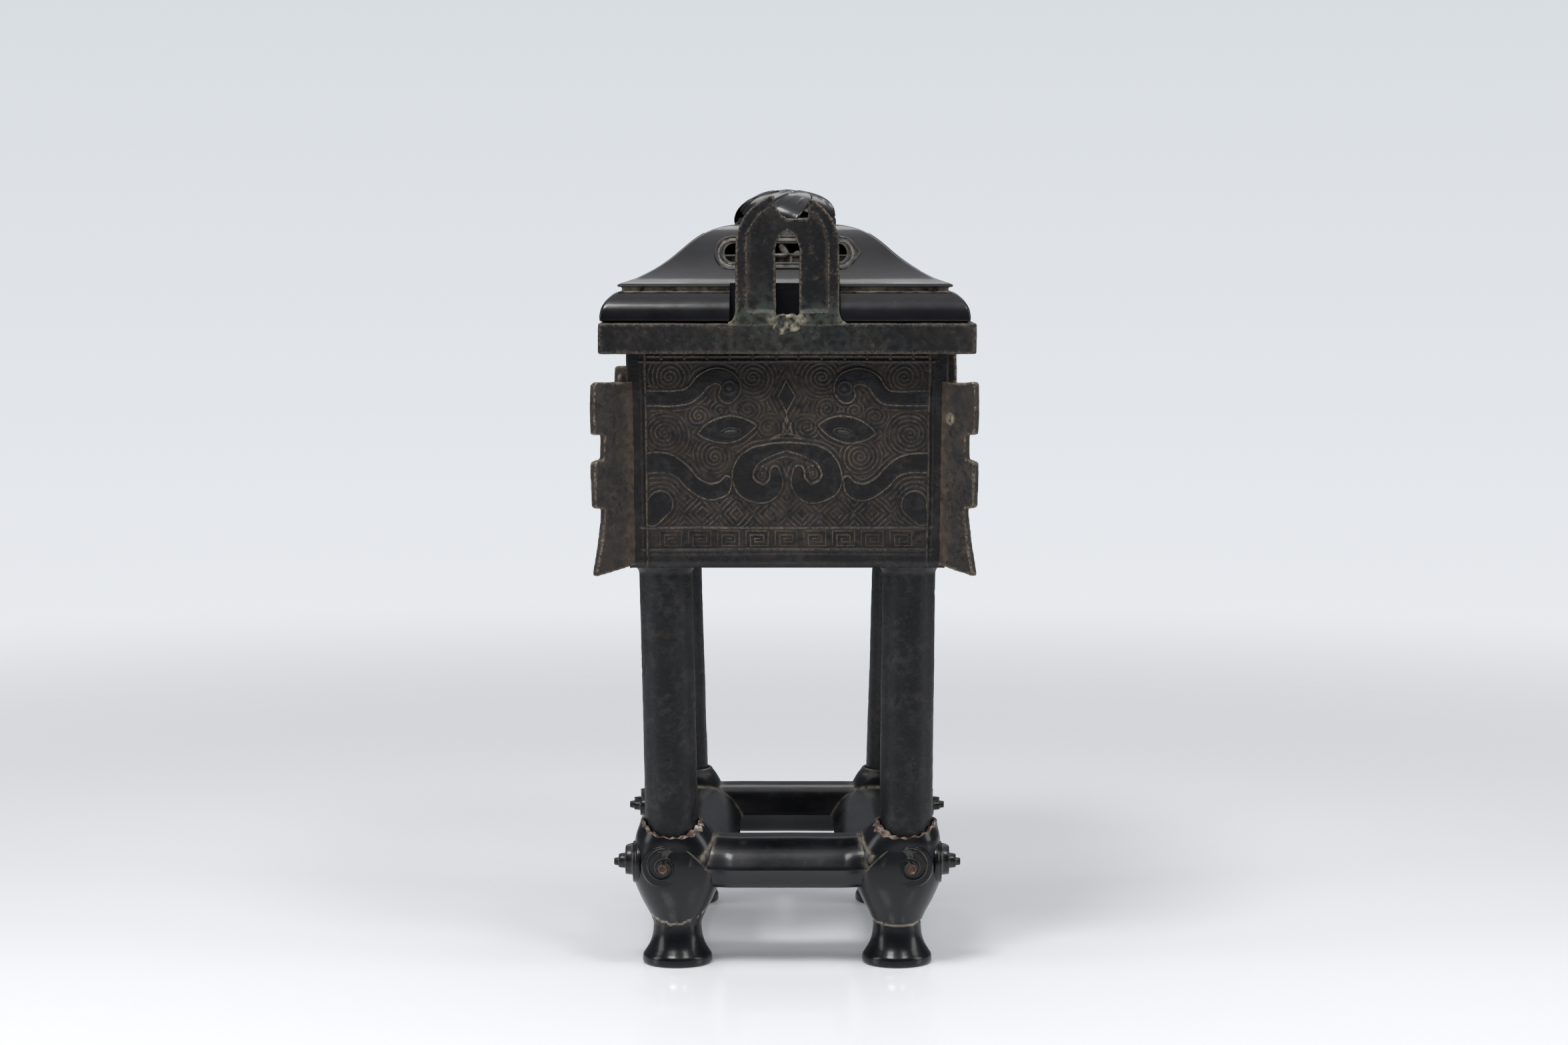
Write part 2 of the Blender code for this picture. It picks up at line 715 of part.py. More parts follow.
def add_grille(name, side, across, half_base, half_length, grilles):
    """The thin bar and the leaf scrolls in one pierced cartouche."""
    low_z = LID_BOTTOM_Z + CARTOUCHE_MIDDLE
    surface = half_base - lid_inset(CARTOUCHE_MIDDLE)
    out = Vector((side[0], side[1], 0))
    frame = facing(out * surface, across, (0, 0, 1))
    half = half_length + LID_WALL / 3
    bar = [
        (-half, low_z - BAR_THICKNESS / 2),
        (half, low_z - BAR_THICKNESS / 2),
        (half, low_z + BAR_THICKNESS / 2),
        (-half, low_z + BAR_THICKNESS / 2),
    ]
    front = -EMBED / 2
    plate(f"{name}_bar", bar, frame, front - BAR_DEPTH, front, grilles)
    for index, outline in enumerate(scroll_outlines(low_z)):
        back = front - BAR_DEPTH * (0.9 - 0.1 * index)
        plate(f"{name}_leaf_{index}", outline, frame, back, front + 0.1 * EMBED * (index + 1), grilles)


def make_lid(parts, tools, material):
    """The moulded lid: an ovolo, a dark recess and an ogee roof, hollow and pierced."""
    cuts = tool_collection("lid_cuts", tools)
    grilles = tool_collection("lid_grilles", tools)
    rings = []
    for inset_mm, rise_mm in LID_PROFILE_MM:
        inset = inset_mm * MM
        rings.append(
            rectangle_ring(LID_HALF_X - inset, LID_HALF_Y - inset, LID_CORNER, LID_BOTTOM_Z + rise_mm * MM)
        )
    lid = loft("lid", rings, parts)
    mouth_inset = RIM_OVERHANG + WALL
    mouth_x, mouth_y = LID_HALF_X - mouth_inset, LID_HALF_Y - mouth_inset
    hollow = [
        rectangle_ring(mouth_x, mouth_y, LID_CORNER, LID_BOTTOM_Z - EMBED),
        rectangle_ring(mouth_x, mouth_y, LID_CORNER, LID_BOTTOM_Z + LID_LEDGE),
    ]
    for inset_mm, rise_mm in LID_PROFILE_MM[12:-1:2]:
        inset = max(inset_mm * MM + LID_HOLLOW_INSET, mouth_inset + EMBED)
        z = LID_BOTTOM_Z + rise_mm * MM - LID_HOLLOW_DROP
        hollow.append(rectangle_ring(LID_HALF_X - inset, LID_HALF_Y - inset, LID_CORNER, z))
    loft("lid_hollow", hollow, cuts)
    notch_half = HANDLE_HALF_WIDTH + NOTCH_CLEARANCE
    notch_depth = RIM_HALF_Y - HANDLE_THICKNESS - NOTCH_CLEARANCE
    for side_y in (-1, 1):
        near, far = sorted((side_y * notch_depth, side_y * (RIM_HALF_Y + EMBED)))
        box(
            f"handle_notch_{side_y}",
            (-notch_half, near, LID_BOTTOM_Z - EMBED),
            (notch_half, far, LID_BOTTOM_Z + NOTCH_HEIGHT),
            cuts,
        )
    short_half = CARTOUCHE_HALF_LENGTH
    long_half = short_half + BODY_HALF_Y - BODY_HALF_X
    short_high, long_high = CARTOUCHE_HEIGHT_SHORT, CARTOUCHE_HEIGHT_LONG
    faces = (
        ("front", (0, -1), (1, 0, 0), LID_HALF_Y, short_half, short_high),
        ("rear", (0, 1), (-1, 0, 0), LID_HALF_Y, short_half, short_high),
        ("left", (-1, 0), (0, -1, 0), LID_HALF_X, long_half, long_high),
        ("right", (1, 0), (0, 1, 0), LID_HALF_X, long_half, long_high),
    )
    for name, side, across, half_base, half_length, height in faces:
        frame = facing((side[0] * half_base, side[1] * half_base, 0), across, (0, 0, 1))
        opening = stadium_outline(half_length, LID_BOTTOM_Z + CARTOUCHE_MIDDLE - height / 2, height)
        inner = half_base - lid_inset(CARTOUCHE_MIDDLE + height / 2) - 2 * LID_WALL
        plate(f"cartouche_{name}", opening, frame, inner - half_base, EMBED, cuts)
        add_grille(f"grille_{name}", side, across, half_base, half_length, grilles)
    join_and_cut(lid, None, cuts, "MANIFOLD")
    join_and_cut(lid, grilles, None, "MANIFOLD")
    lid.rotation_euler.z = LID_TURN
    lid.data.materials.append(material)
    return lid


# Carved finial


def dome(name, half_x, half_y, rise, base_z, sides, collection):
    """The upper half of an ellipsoid, closed at the base."""
    bm = bmesh.new()
    bmesh.ops.create_uvsphere(bm, u_segments=sides, v_segments=8, radius=1.0)
    below = [vert for vert in bm.verts if vert.co.z < -0.01]
    bmesh.ops.delete(bm, geom=below, context="VERTS")
    rim = [edge for edge in bm.edges if edge.is_boundary]
    bmesh.ops.holes_fill(bm, edges=rim)
    for vert in bm.verts:
        vert.co = Vector((vert.co.x * half_x, vert.co.y * half_y, base_z + vert.co.z * rise))
    return object_from_bmesh(name, bm, collection)


def make_finial(parts, tools, material):
    """An openwork dome of sweeping leaves on a low plinth."""
    cuts = tool_collection("finial_cuts", tools)
    adds = tool_collection("finial_adds", tools)
    plinth_top = FINIAL_Z + FINIAL_PLINTH
    dome_base = plinth_top - EMBED / 2
    dome_x, dome_y = FINIAL_HALF_X - FINIAL_LIP, FINIAL_HALF_Y - FINIAL_LIP
    hollow_x, hollow_y = dome_x - FINIAL_WALL, dome_y - FINIAL_WALL
    hollow_rise = FINIAL_RISE - FINIAL_WALL
    ring = arc_points((0, 0), FINIAL_HALF_X, FINIAL_HALF_Y, 0, 360, FINIAL_SIDES)[:-1]
    flat = facing((0, 0, 0), (1, 0, 0), (0, 1, 0))
    finial = plate("lid_finial", ring, flat, FINIAL_Z, plinth_top, parts)
    dome("finial_dome", dome_x, dome_y, FINIAL_RISE, dome_base, FINIAL_SIDES, adds)
    dome("finial_hollow", hollow_x, hollow_y, hollow_rise, dome_base, 10, cuts)
    for index in range(FINIAL_SLOTS):
        turn = 2 * math.pi * index / FINIAL_SLOTS
        line = []
        for step in range(4):
            share = step / 3
            reach = FINIAL_SLOT_START + (FINIAL_SLOT_END - FINIAL_SLOT_START) * share
            angle = turn + FINIAL_SLOT_SWEEP * share * share
            line.append((FINIAL_HALF_X * reach * math.cos(angle), FINIAL_HALF_Y * reach * math.sin(angle)))
        outline = band_outline(line, FINIAL_SLOT_WIDTH * 0.45, FINIAL_SLOT_WIDTH * 0.7)
        plate(
            f"finial_slot_{index}", outline, flat, plinth_top + EMBED, plinth_top + FINIAL_RISE * 2, cuts
        )
    join_and_cut(finial, adds, cuts)
    finial.data.materials.append(material)
    return finial


# Wooden stand


def foot_sections(name):
    """Height, middle, half widths and squareness of a foot's sections, from the ground up."""
    side_x, side_y = CORNERS[name]
    axis = Vector((side_x * FOOT_X, side_y * FOOT_Y))
    top, bottom = leg_axis(name)
    rise = (COLLAR_TOP_Z - bottom.z) / (top.z - bottom.z)
    leg = (bottom + (top - bottom) * rise).xy
    collar = LEG_RADIUS + SOCKET_CLEARANCE + COLLAR_WALL
    shoulder = FOOT_SHOULDER_HALF
    waist = FOOT_WAIST_RADIUS
    disc = FOOT_DISC_RADIUS
    body_z = FOOT_SHOULDER_Z - FOOT_WAIST_Z
    neck_z = COLLAR_TOP_Z - FOOT_SHOULDER_Z
    return [
        (0.0, axis, disc - FOOT_DISC_CHAMFER, 2.0),
        (FOOT_DISC_CHAMFER, axis, disc, 2.0),
        (FOOT_DISC_HEIGHT, axis, disc, 2.0),
        (FOOT_DISC_HEIGHT + FOOT_DISC_RISE, axis, disc - FOOT_DISC_STEP, 2.0),
        (FOOT_WAIST_Z * 0.58, axis, waist + FOOT_WAIST_FLARE, 2.0),
        (FOOT_WAIST_Z * 0.85, axis, waist, 2.0),
        (FOOT_WAIST_Z, axis, waist + FOOT_WAIST_FLARE / 4, 2.0),
        (FOOT_WAIST_Z + body_z * 0.44, axis, (waist + shoulder) / 2, 2.3),
        (FOOT_WAIST_Z + body_z * 0.78, axis, shoulder - FOOT_SHOULDER_ROUND, 2.6),
        (FOOT_SHOULDER_Z, axis, shoulder, FOOT_SQUARENESS),
        (FOOT_SHOULDER_Z + neck_z * 0.50, axis.lerp(leg, 0.1), shoulder - FOOT_NECK_ROUND, 2.7),
        (FOOT_SHOULDER_Z + neck_z * 0.86, axis.lerp(leg, 0.6), (shoulder + collar) / 2 - FOOT_THROAT, 2.2),
        (COLLAR_TOP_Z, leg, collar, 2.0),
    ]


def superellipse(middle, half, power, z, grow):
    """A ring between a circle and a rounded square."""
    ring = []
    for index in range(FOOT_SIDES):
        angle = 2 * math.pi * (index + 0.5) / FOOT_SIDES
        cos, sin = math.cos(angle), math.sin(angle)
        reach = (half + grow) / (abs(cos) ** power + abs(sin) ** power) ** (1 / power)
        ring.append((middle.x + reach * cos, middle.y + reach * sin, z))
    return ring


def foot_body(name, label, grow, collection):
    """The turned and squared body of a foot, or a copy grown all round to trim the rails."""
    rings = []
    for z, middle, half, power in foot_sections(name):
        rings.append(superellipse(middle, half, power, z, grow))
    return loft(label, rings, collection)


def jagged_break_outline(side_x):
    """What is missing above the broken edge of a front collar: x from the leg's axis, y height."""
    reach = LEG_RADIUS + SOCKET_CLEARANCE + COLLAR_WALL + EMBED
    outline = []
    for share, depth in COLLAR_BREAK_EDGE:
        outline.append((-side_x * share * reach, COLLAR_TOP_Z - depth * COLLAR_BREAK_DROP))
    top = COLLAR_TOP_Z + EMBED
    return [*outline, (-side_x * COLLAR_BREAK_EDGE[-1][0] * reach, top), (side_x * reach, top)]


def volute_centre(name, on_side):
    """The middle of a volute on the foot's outer front or outer side face."""
    side_x, side_y = CORNERS[name]
    drop = (VOLUTE_OFFSET / FOOT_SHOULDER_HALF) ** FOOT_SQUARENESS
    surface = FOOT_SHOULDER_HALF * (1 - drop) ** (1 / FOOT_SQUARENESS)
    if on_side:
        return (
            Vector((side_x * (FOOT_X + surface), side_y * (FOOT_Y + VOLUTE_OFFSET), VOLUTE_Z)),
            Vector((side_x, 0, 0)),
        )
    return (
        Vector((side_x * (FOOT_X + VOLUTE_OFFSET), side_y * (FOOT_Y + surface), VOLUTE_Z)),
        Vector((0, side_y, 0)),
    )


def add_volute(name, on_side, adds):
    """Stepped tiers winding down to a knob; the knobs facing front are broken off."""
    centre, out = volute_centre(name, on_side)
    is_broken = not on_side and CORNERS[name][1] < 0
    tiers = VOLUTE_TIERS_MM[:BROKEN_VOLUTE_STEPS] if is_broken else VOLUTE_TIERS_MM
    base = 0.0
    for index, (radius_mm, rise_mm) in enumerate(tiers):
        start = centre + out * (base - (FOOT_SHOULDER_HALF / 3 if index == 0 else EMBED / 2))
        base += rise_mm * MM
        label = f"volute_{name}_{on_side}_{index}"
        radius = radius_mm * MM
        rod(label, start, centre + out * base, radius, VOLUTE_SIDES, adds, radius - VOLUTE_DRAFT)


def make_foot(name, parts, tools, material):
    """One foot of the stand, with its leg socket and its two volutes."""
    adds = tool_collection("foot_adds_" + name, tools)
    cuts = tool_collection("foot_cuts_" + name, tools)
    foot = foot_body(name, "stand_foot_" + name, 0.0, parts)
    for on_side in (False, True):
        add_volute(name, on_side, adds)
    top, bottom = leg_axis(name)
    along = (top - bottom).normalized()
    socket_radius = LEG_RADIUS + SOCKET_CLEARANCE
    rod(
        "socket_" + name,
        bottom - along * GAP,
        bottom + along * (COLLAR_TOP_Z - bottom.z + 3 * EMBED),
        socket_radius,
        LEG_SIDES,
        cuts,
    )
    side_x, side_y = CORNERS[name]
    if side_y < 0:
        frame = facing((bottom.x, bottom.y, 0), (1, 0, 0), (0, 0, 1))
        outline = jagged_break_outline(-side_x)
        plate("collar_break_" + name, outline, frame, 0, FOOT_SHOULDER_HALF, cuts)
    join_and_cut(foot, adds, cuts)
    foot.data.materials.append(material)
    return foot


def rail_section():
    """Shares of the half width and heights round a rail: crowned, an arris each side, flat below."""
    arris_z = (RAIL_TOP_Z + RAIL_BOTTOM_Z) / 2 - RAIL_ARRIS_DROP
    shoulder_z = arris_z + (RAIL_TOP_Z - arris_z) * 0.52
    crown_z = RAIL_TOP_Z - RAIL_CROWN_DROP
    return [
        (-1.0, arris_z),
        (-0.52, RAIL_BOTTOM_Z),
        (0.52, RAIL_BOTTOM_Z),
        (1.0, arris_z),
        (0.80, shoulder_z),
        (0.45, crown_z),
        (0.0, RAIL_TOP_Z),
        (-0.45, crown_z),
        (-0.80, shoulder_z),
    ]


def rail_line(foot, inner):
    """Where a rail's crown runs and its half width, from the feet it joins."""
    return foot + (RAIL_OUTER - inner) / 2, (RAIL_OUTER + inner) / 2


def make_rail(name, along_x, side, parts, tools, material):
    """One rail, mitred on its inner half, tapered on its outer edge and trimmed to the feet it joins."""
    cuts = tool_collection("rail_cuts_" + name, tools)
    short, long = rail_line(FOOT_Y, RAIL_INNER_SHORT), rail_line(FOOT_X, RAIL_INNER_LONG)
    (crown, half), (cross_crown, cross_half) = (short, long) if along_x else (long, short)
    foot_along = FOOT_X if along_x else FOOT_Y
    rings = []
    for end in (-1, 1):
        ring = []
        for share, z in rail_section():
            mitre = cross_crown + share * cross_half
            taper = foot_along - max(0.0, share - 0.5) * RAIL_END_TAPER
            along = end * ((mitre if share <= 0 else taper) - GAP)
            across = side * (crown + share * half)
            ring.append((along, across, z) if along_x else (across, along, z))
        rings.append(ring)
    rail = loft("stand_rail_" + name, rings, parts)
    for corner, (side_x, side_y) in CORNERS.items():
        if side == (side_y if along_x else side_x):
            foot_body(corner, f"trim_{name}_{corner}", RAIL_CLEARANCE, cuts)
    join_and_cut(rail, None, cuts)
    rail.data.materials.append(material)
    return rail


def shade(obj):
    """Rounds what is round and keeps edges over 35 degrees sharp."""
    obj.data.shade_smooth()
    obj.data.set_sharp_from_angle(angle=math.radians(35))


def build():
    """Models the whole object."""
    clear_scene()
    parts = make_collection("square_bronze_ding")
    tools = make_collection("cutters")
    tools.hide_render = True
    bronze = make_material("bronze", (0.035, 0.033, 0.032), 0.55, 0.85)
    lid_wood = make_material("lid_wood", (0.012, 0.011, 0.013), 0.28, 0.0)
    stand_wood = make_material("stand_wood", (0.013, 0.013, 0.015), 0.34, 0.0)
    pieces = [
        make_lid(parts, tools, lid_wood),
        make_finial(parts, tools, lid_wood),
    ]
    for name in CORNERS:
        pieces.append(make_foot(name, parts, tools, stand_wood))
    for name, along_x, side in (
        ("front", True, -1),
        ("rear", True, 1),
        ("left", False, -1),
        ("right", False, 1),
    ):
        pieces.append(make_rail(name, along_x, side, parts, tools, stand_wood))
    pieces.append(make_ding(parts, tools, bronze))
    for piece in pieces:
        shade(piece)
    add_booleans()


build()
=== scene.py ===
"""The square bronze ding dressed for show: relief walls, worn castings, pierced lid, carved finial, stand.

All sizes inside the classes are in millimetres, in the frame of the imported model, and become metres only when
a mesh is made. +Z is up and a short side of the vessel faces -Y.
"""

from __future__ import annotations

import logging
import math
from dataclasses import dataclass
from enum import Enum, IntEnum
from itertools import product
from typing import Iterable, Sequence

import bmesh
import bpy
import numpy as np
from mathutils import Matrix, Vector

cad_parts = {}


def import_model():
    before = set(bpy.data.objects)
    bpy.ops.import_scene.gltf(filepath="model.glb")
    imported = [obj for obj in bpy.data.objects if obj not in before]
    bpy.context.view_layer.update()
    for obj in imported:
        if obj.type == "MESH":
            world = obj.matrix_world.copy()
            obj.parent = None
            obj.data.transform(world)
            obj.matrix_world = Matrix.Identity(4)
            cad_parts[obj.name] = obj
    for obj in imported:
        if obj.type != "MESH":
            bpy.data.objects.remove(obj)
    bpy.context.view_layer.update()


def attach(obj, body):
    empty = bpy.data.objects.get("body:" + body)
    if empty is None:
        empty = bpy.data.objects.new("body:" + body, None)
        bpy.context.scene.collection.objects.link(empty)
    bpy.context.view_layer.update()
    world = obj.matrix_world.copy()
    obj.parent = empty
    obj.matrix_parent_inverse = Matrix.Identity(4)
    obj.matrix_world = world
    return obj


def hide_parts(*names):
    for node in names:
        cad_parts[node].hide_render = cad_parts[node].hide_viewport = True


MM = 0.001
LOG = logging.getLogger("ding")
UP = np.array([0.0, 0.0, 1.0])
Colour = tuple[float, float, float]
Piece = bpy.types.Object
Socket = bpy.types.NodeSocket
Material = bpy.types.Material
PIT_SIZE = 1.6
FINE_SIDES = (150, 190)
WELD = 1e-7


class Slot(Enum):
    """The record's material slots."""

    BRONZE = "bronze"
    LID_WOOD = "lid_wood"
    STAND_WOOD = "stand_wood"


class Side(Enum):
    """The four walls, each by the way it faces."""

    FRONT = (0, -1)
    REAR = (0, 1)
    LEFT = (-1, 0)
    RIGHT = (1, 0)

    @property
    def label(self) -> str:
        """The side's name in piece and node names."""
        return self.name.lower()

    @property
    def out(self) -> np.ndarray:
        """The direction that the wall faces."""
        return np.array([self.value[0], self.value[1], 0.0])

    @property
    def across(self) -> np.ndarray:
        """The direction to the right of someone who looks at the wall."""
        return np.array([-self.value[1], self.value[0], 0.0])

    @property
    def is_short(self) -> bool:
        """Whether the wall is one of the two short ones."""
        return self.value[0] == 0


class Corner(Enum):
    """The four corners, each by its signs in X and Y."""

    FRONT_LEFT = (-1, -1)
    FRONT_RIGHT = (1, -1)
    REAR_LEFT = (-1, 1)
    REAR_RIGHT = (1, 1)

    @property
    def label(self) -> str:
        """The corner's name in piece and node names."""
        return self.name.lower()

    @property
    def is_front(self) -> bool:
        """Whether the corner is on the side that faces the viewer."""
        return self.value[1] < 0


class Seed(IntEnum):
    """The fixed seeds of the random numbers, one or one row of them for each use."""

    AGE = 5
    FLANGE_DUST = 7
    WALLS = 11
    RIM = 31
    HANDLES = 41
    FLANGE_EDGES = 50
    SIDE_FLANGE_EDGES = 58
    FLANGES = 60
    FRETS = 70
    WALL_WEAR = 71
    LEGS = 80
    CRUST_EDGE = 91
    CRUST = 92
    CRUST_TONE = 93
    ROOF_SAG = 201
    ROOF = 202
    LID_DUST = 210
    TRIMS = 220
    LINING = 230
    FEET = 300
    STUBS = 401
    RAILS = 500


# Noise and lines


class Grain:
    """Smooth repeatable noise in space, from a fixed seed."""

    CELLS = 4096
    MIXERS = (73856093, 19349663, 83492791)
    OCTAVE_SHIFT = 17.3

    def __init__(self, seed: int) -> None:
        """Fills the table of random values.

        Args:
            seed: the fixed seed.
        """
        self.table = np.random.default_rng(seed).uniform(-1.0, 1.0, self.CELLS)

    def sample(self, points: np.ndarray, size: float) -> np.ndarray:
        """Works out one octave of noise.

        Args:
            points: an array whose last axis is X, Y and Z.
            size: the length of one bump.

        Returns:
            One value from -1 to 1 for each point.
        """
        place = points / size
        cell = np.floor(place).astype(np.int64)
        share = place - cell
        share = share * share * (3 - 2 * share)
        total = np.zeros(points.shape[:-1])
        for corner in product((0, 1), repeat=3):
            at = cell + np.array(corner)
            mixed = at * np.array(self.MIXERS)
            key = (mixed[..., 0] ^ mixed[..., 1] ^ mixed[..., 2]) & (self.CELLS - 1)
            weight = np.prod(np.where(np.array(corner) == 1, share, 1 - share), axis=-1)
            total += weight * self.table[key]
        return total

    def rough(self, points: np.ndarray, size: float, octaves: int = 3) -> np.ndarray:
        """Adds finer octaves to the noise, each half as strong.

        Args:
            points: an array whose last axis is X, Y and Z.
            size: the length of the largest bumps.
            octaves: how many sizes are added.

        Returns:
            One value for each point, about -1 to 1.
        """
        total = np.zeros(points.shape[:-1])
        for octave in range(octaves):
            total += self.sample(points + self.OCTAVE_SHIFT * octave, size / 2**octave) / 2**octave
        return total / (2 - 1 / 2 ** (octaves - 1))


def step_between(value: np.ndarray, low: float, high: float) -> np.ndarray:
    """Rises smoothly from 0 at low to 1 at high.

    Args:
        value: the numbers to map.
        low: where the result is 0.
        high: where the result is 1.

    Returns:
        The mapped numbers.
    """
    share = np.clip((value - low) / (high - low), 0.0, 1.0)
    return share * share * (3 - 2 * share)


def smooth_line(points: Sequence[Sequence[float]], steps: int) -> np.ndarray:
    """Runs a Catmull-Rom curve through rows of numbers.

    Args:
        points: the rows to pass through.
        steps: how many pieces each stretch is cut into.

    Returns:
        The rows along the curve.
    """
    rows = np.array(points, float)
    ends = np.vstack([rows[:1], rows, rows[-1:]])
    out = []
    for before, here, after, beyond in zip(ends, ends[1:], ends[2:], ends[3:]):
        square = 2 * before - 5 * here + 4 * after - beyond
        cube = 3 * here - before - 3 * after + beyond
        for step in range(steps):
            t = step / steps
            out.append(0.5 * (2 * here + (after - before) * t + square * t * t + cube * t**3))
    out.append(rows[-1])
    return np.array(out)


def mirrored(rows: np.ndarray) -> np.ndarray:
    """The rows in reverse order, with their first number on the other side of zero."""
    return rows[::-1] * np.array([-1, 1])


def subdivide(loop: np.ndarray, gap: float) -> np.ndarray:
    """Adds points along a closed outline.

    Args:
        loop: the outline's points.
        gap: about how far apart points may stay.

    Returns:
        The outline with the added points.
    """
    dense = []
    for first, second in zip(loop, np.roll(loop, -1, 0)):
        pieces = max(1, int(np.linalg.norm(second - first) / gap))
        dense.extend(first + (second - first) * step / pieces for step in range(pieces))
    return np.array(dense)


def hump(gap: np.ndarray, width: float) -> np.ndarray:
    """A smooth hump that is 1 where the gap is 0 and dies away over about its width."""
    return np.exp(-((gap / width) ** 2))


def turns_round(count: int) -> np.ndarray:
    """Evenly spaced angles, once round."""
    return np.linspace(0, 2 * math.pi, count + 1)[:-1]


def chain_distance(u: np.ndarray, v: np.ndarray, line: np.ndarray) -> np.ndarray:
    """How far points lie outside a band of changing width.

    Args:
        u: first coordinates.
        v: second coordinates.
        line: rows of u, v and half width along the band.

    Returns:
        Distances from the band's edge, negative inside.
    """
    best = np.full(u.shape, 1e9)
    for (u0, v0, r0), (u1, v1, r1) in zip(line, line[1:]):
        du, dv = u1 - u0, v1 - v0
        share = np.clip(((u - u0) * du + (v - v0) * dv) / max(du * du + dv * dv, 1e-9), 0, 1)
        gap = np.hypot(u - u0 - share * du, v - v0 - share * dv) - (r0 + (r1 - r0) * share)
        best = np.minimum(best, gap)
    return best


def lens_distance(
    u: np.ndarray, v: np.ndarray, centre: tuple[float, float], length: float, height: float, tilt: float
) -> np.ndarray:
    """How far points lie outside an almond shape between two arcs.

    Args:
        u: first coordinates.
        v: second coordinates.
        centre: the almond's middle.
        length: its half length.
        height: its half height.
        tilt: its turn in degrees.

    Returns:
        Distances from its edge, negative inside.
    """
    cos, sin = math.cos(math.radians(tilt)), math.sin(math.radians(tilt))
    along = (u - centre[0]) * cos + (v - centre[1]) * sin
    up = np.abs((v - centre[1]) * cos - (u - centre[0]) * sin)
    radius = (length * length + height * height) / (2 * height)
    return np.hypot(along, up + radius - height) - radius


# Mesh making


def grid_faces(rows: int, columns: int, around: bool) -> list[list[int]]:
    """Quads of a grid of points.

    Args:
        rows: how many rows there are.
        columns: how many points each row has.
        around: whether each row closes on itself.

    Returns:
        Four point numbers for each quad.
    """
    row = np.arange(rows - 1)[:, None]
    column = np.arange(columns if around else columns - 1)[None]
    after = (column + 1) % columns
    first = row * columns + column
    second = row * columns + after
    return np.stack([first, second, second + columns, first + columns], -1).reshape(-1, 4).tolist()


def to_scene(name: str, data: bpy.types.ID) -> Piece:
    """Puts a mesh, curve, light or camera into the scene.

    Args:
        name: the object's name.
        data: what the object shows.

    Returns:
        The new object, at the origin.
    """
    obj = bpy.data.objects.new(name, data)
    bpy.context.scene.collection.objects.link(obj)
    return obj


def face_outwards(mesh: bpy.types.Mesh, weld: float = 0.0) -> None:
    """Turns all faces outwards.

    Args:
        mesh: the mesh.
        weld: how close two points are that become one first, in metres, or 0 for none.
    """
    bm = bmesh.new()
    bm.from_mesh(mesh)
    if weld:
        bmesh.ops.remove_doubles(bm, verts=bm.verts, dist=weld)
    bmesh.ops.recalc_face_normals(bm, faces=bm.faces)
    bm.to_mesh(mesh)
    bm.free()


def new_piece(name: str, points: np.ndarray, faces: list[list[int]]) -> Piece:
    """Makes an object from points in millimetres, with its faces turned outwards.

    Args:
        name: the object's name.
        points: rows of X, Y and Z in millimetres.
        faces: point numbers of each face.

    Returns:
        The new object, at the origin.
    """
    mesh = bpy.data.meshes.new(name)
    mesh.from_pydata((np.asarray(points, float) * MM).tolist(), [], faces)
    face_outwards(mesh)
    return to_scene(name, mesh)


def loft(name: str, rings: np.ndarray, closed: bool = False) -> Piece:
    """Makes a closed skin through rings of equally many points.

    Args:
        name: the object's name.
        rings: an array of rings, points and coordinates.
        closed: whether the last ring joins the first, in place of two end caps.

    Returns:
        The new object.
    """
    count, around = rings.shape[:2]
    if closed:
        rings = np.concatenate([rings, rings[:1]])
        faces = np.array(grid_faces(count + 1, around, True)) % (count * around)
        return new_piece(name, rings[:-1].reshape(-1, 3), faces.tolist())
    faces = grid_faces(count, around, True)
    faces.append(list(range(around)))
    faces.append(list(range((count - 1) * around, count * around)))
    return new_piece(name, rings.reshape(-1, 3), faces)


def place_in(points: np.ndarray, origin: np.ndarray, across: np.ndarray, up: np.ndarray) -> np.ndarray:
    """Moves flat local points to a plane in space.

    Args:
        points: rows of across, up and out.
        origin: where the local zero goes.
        across: the direction of the first coordinate.
        up: roughly the direction of the second one.

    Returns:
        Rows of X, Y and Z.
    """
    across = across / np.linalg.norm(across)
    out = np.cross(across, up)
    out = out / np.linalg.norm(out)
    return origin + points @ np.array([across, np.cross(out, across), out])


def plate(
    name: str, outline: np.ndarray, origin: np.ndarray, across: np.ndarray, low: float, high: float
) -> Piece:
    """Makes a flat upright plate.

    Args:
        name: the object's name.
        outline: rows of across and up.
        origin: where the outline's zero goes.
        across: the direction of the outline's first coordinate.
        low: how far in the plate starts.
        high: how far out it ends.

    Returns:
        The new object.
    """
    rings = [place_in(level_ring(outline, depth), origin, across, UP) for depth in (low, high)]
    return loft(name, np.array(rings))


def rectangle_ring(half_x: float, half_y: float, corner: float, along: int, beside: int) -> np.ndarray:
    """Points round a rectangle with rounded corners.

    Args:
        half_x: half its width.
        half_y: half its depth.
        corner: its corner radius.
        along: points along each side parallel to X.
        beside: points along each side parallel to Y.

    Returns:
        Rows of X and Y.
    """
    arcs = []
    for quarter, (side_x, side_y) in enumerate(((1, 1), (-1, 1), (-1, -1), (1, -1))):
        turn = np.radians(90 * quarter + np.linspace(0, 90, 5))
        x = side_x * (half_x - corner) + corner * np.cos(turn)
        y = side_y * (half_y - corner) + corner * np.sin(turn)
        arcs.append(np.column_stack([x, y]))
    ring = []
    for quarter, arc in enumerate(arcs):
        ring.append(arc)
        count = along if quarter % 2 == 0 else beside
        share = np.linspace(0, 1, count + 2)[1:-1, None]
        ring.append(arc[-1] + (arcs[(quarter + 1) % 4][0] - arc[-1]) * share)
    return np.vstack(ring)


def level_ring(plan: np.ndarray, height: float) -> np.ndarray:
    """Rows of X and Y, put at one height."""
    return np.column_stack([plan, np.full(len(plan), height)])


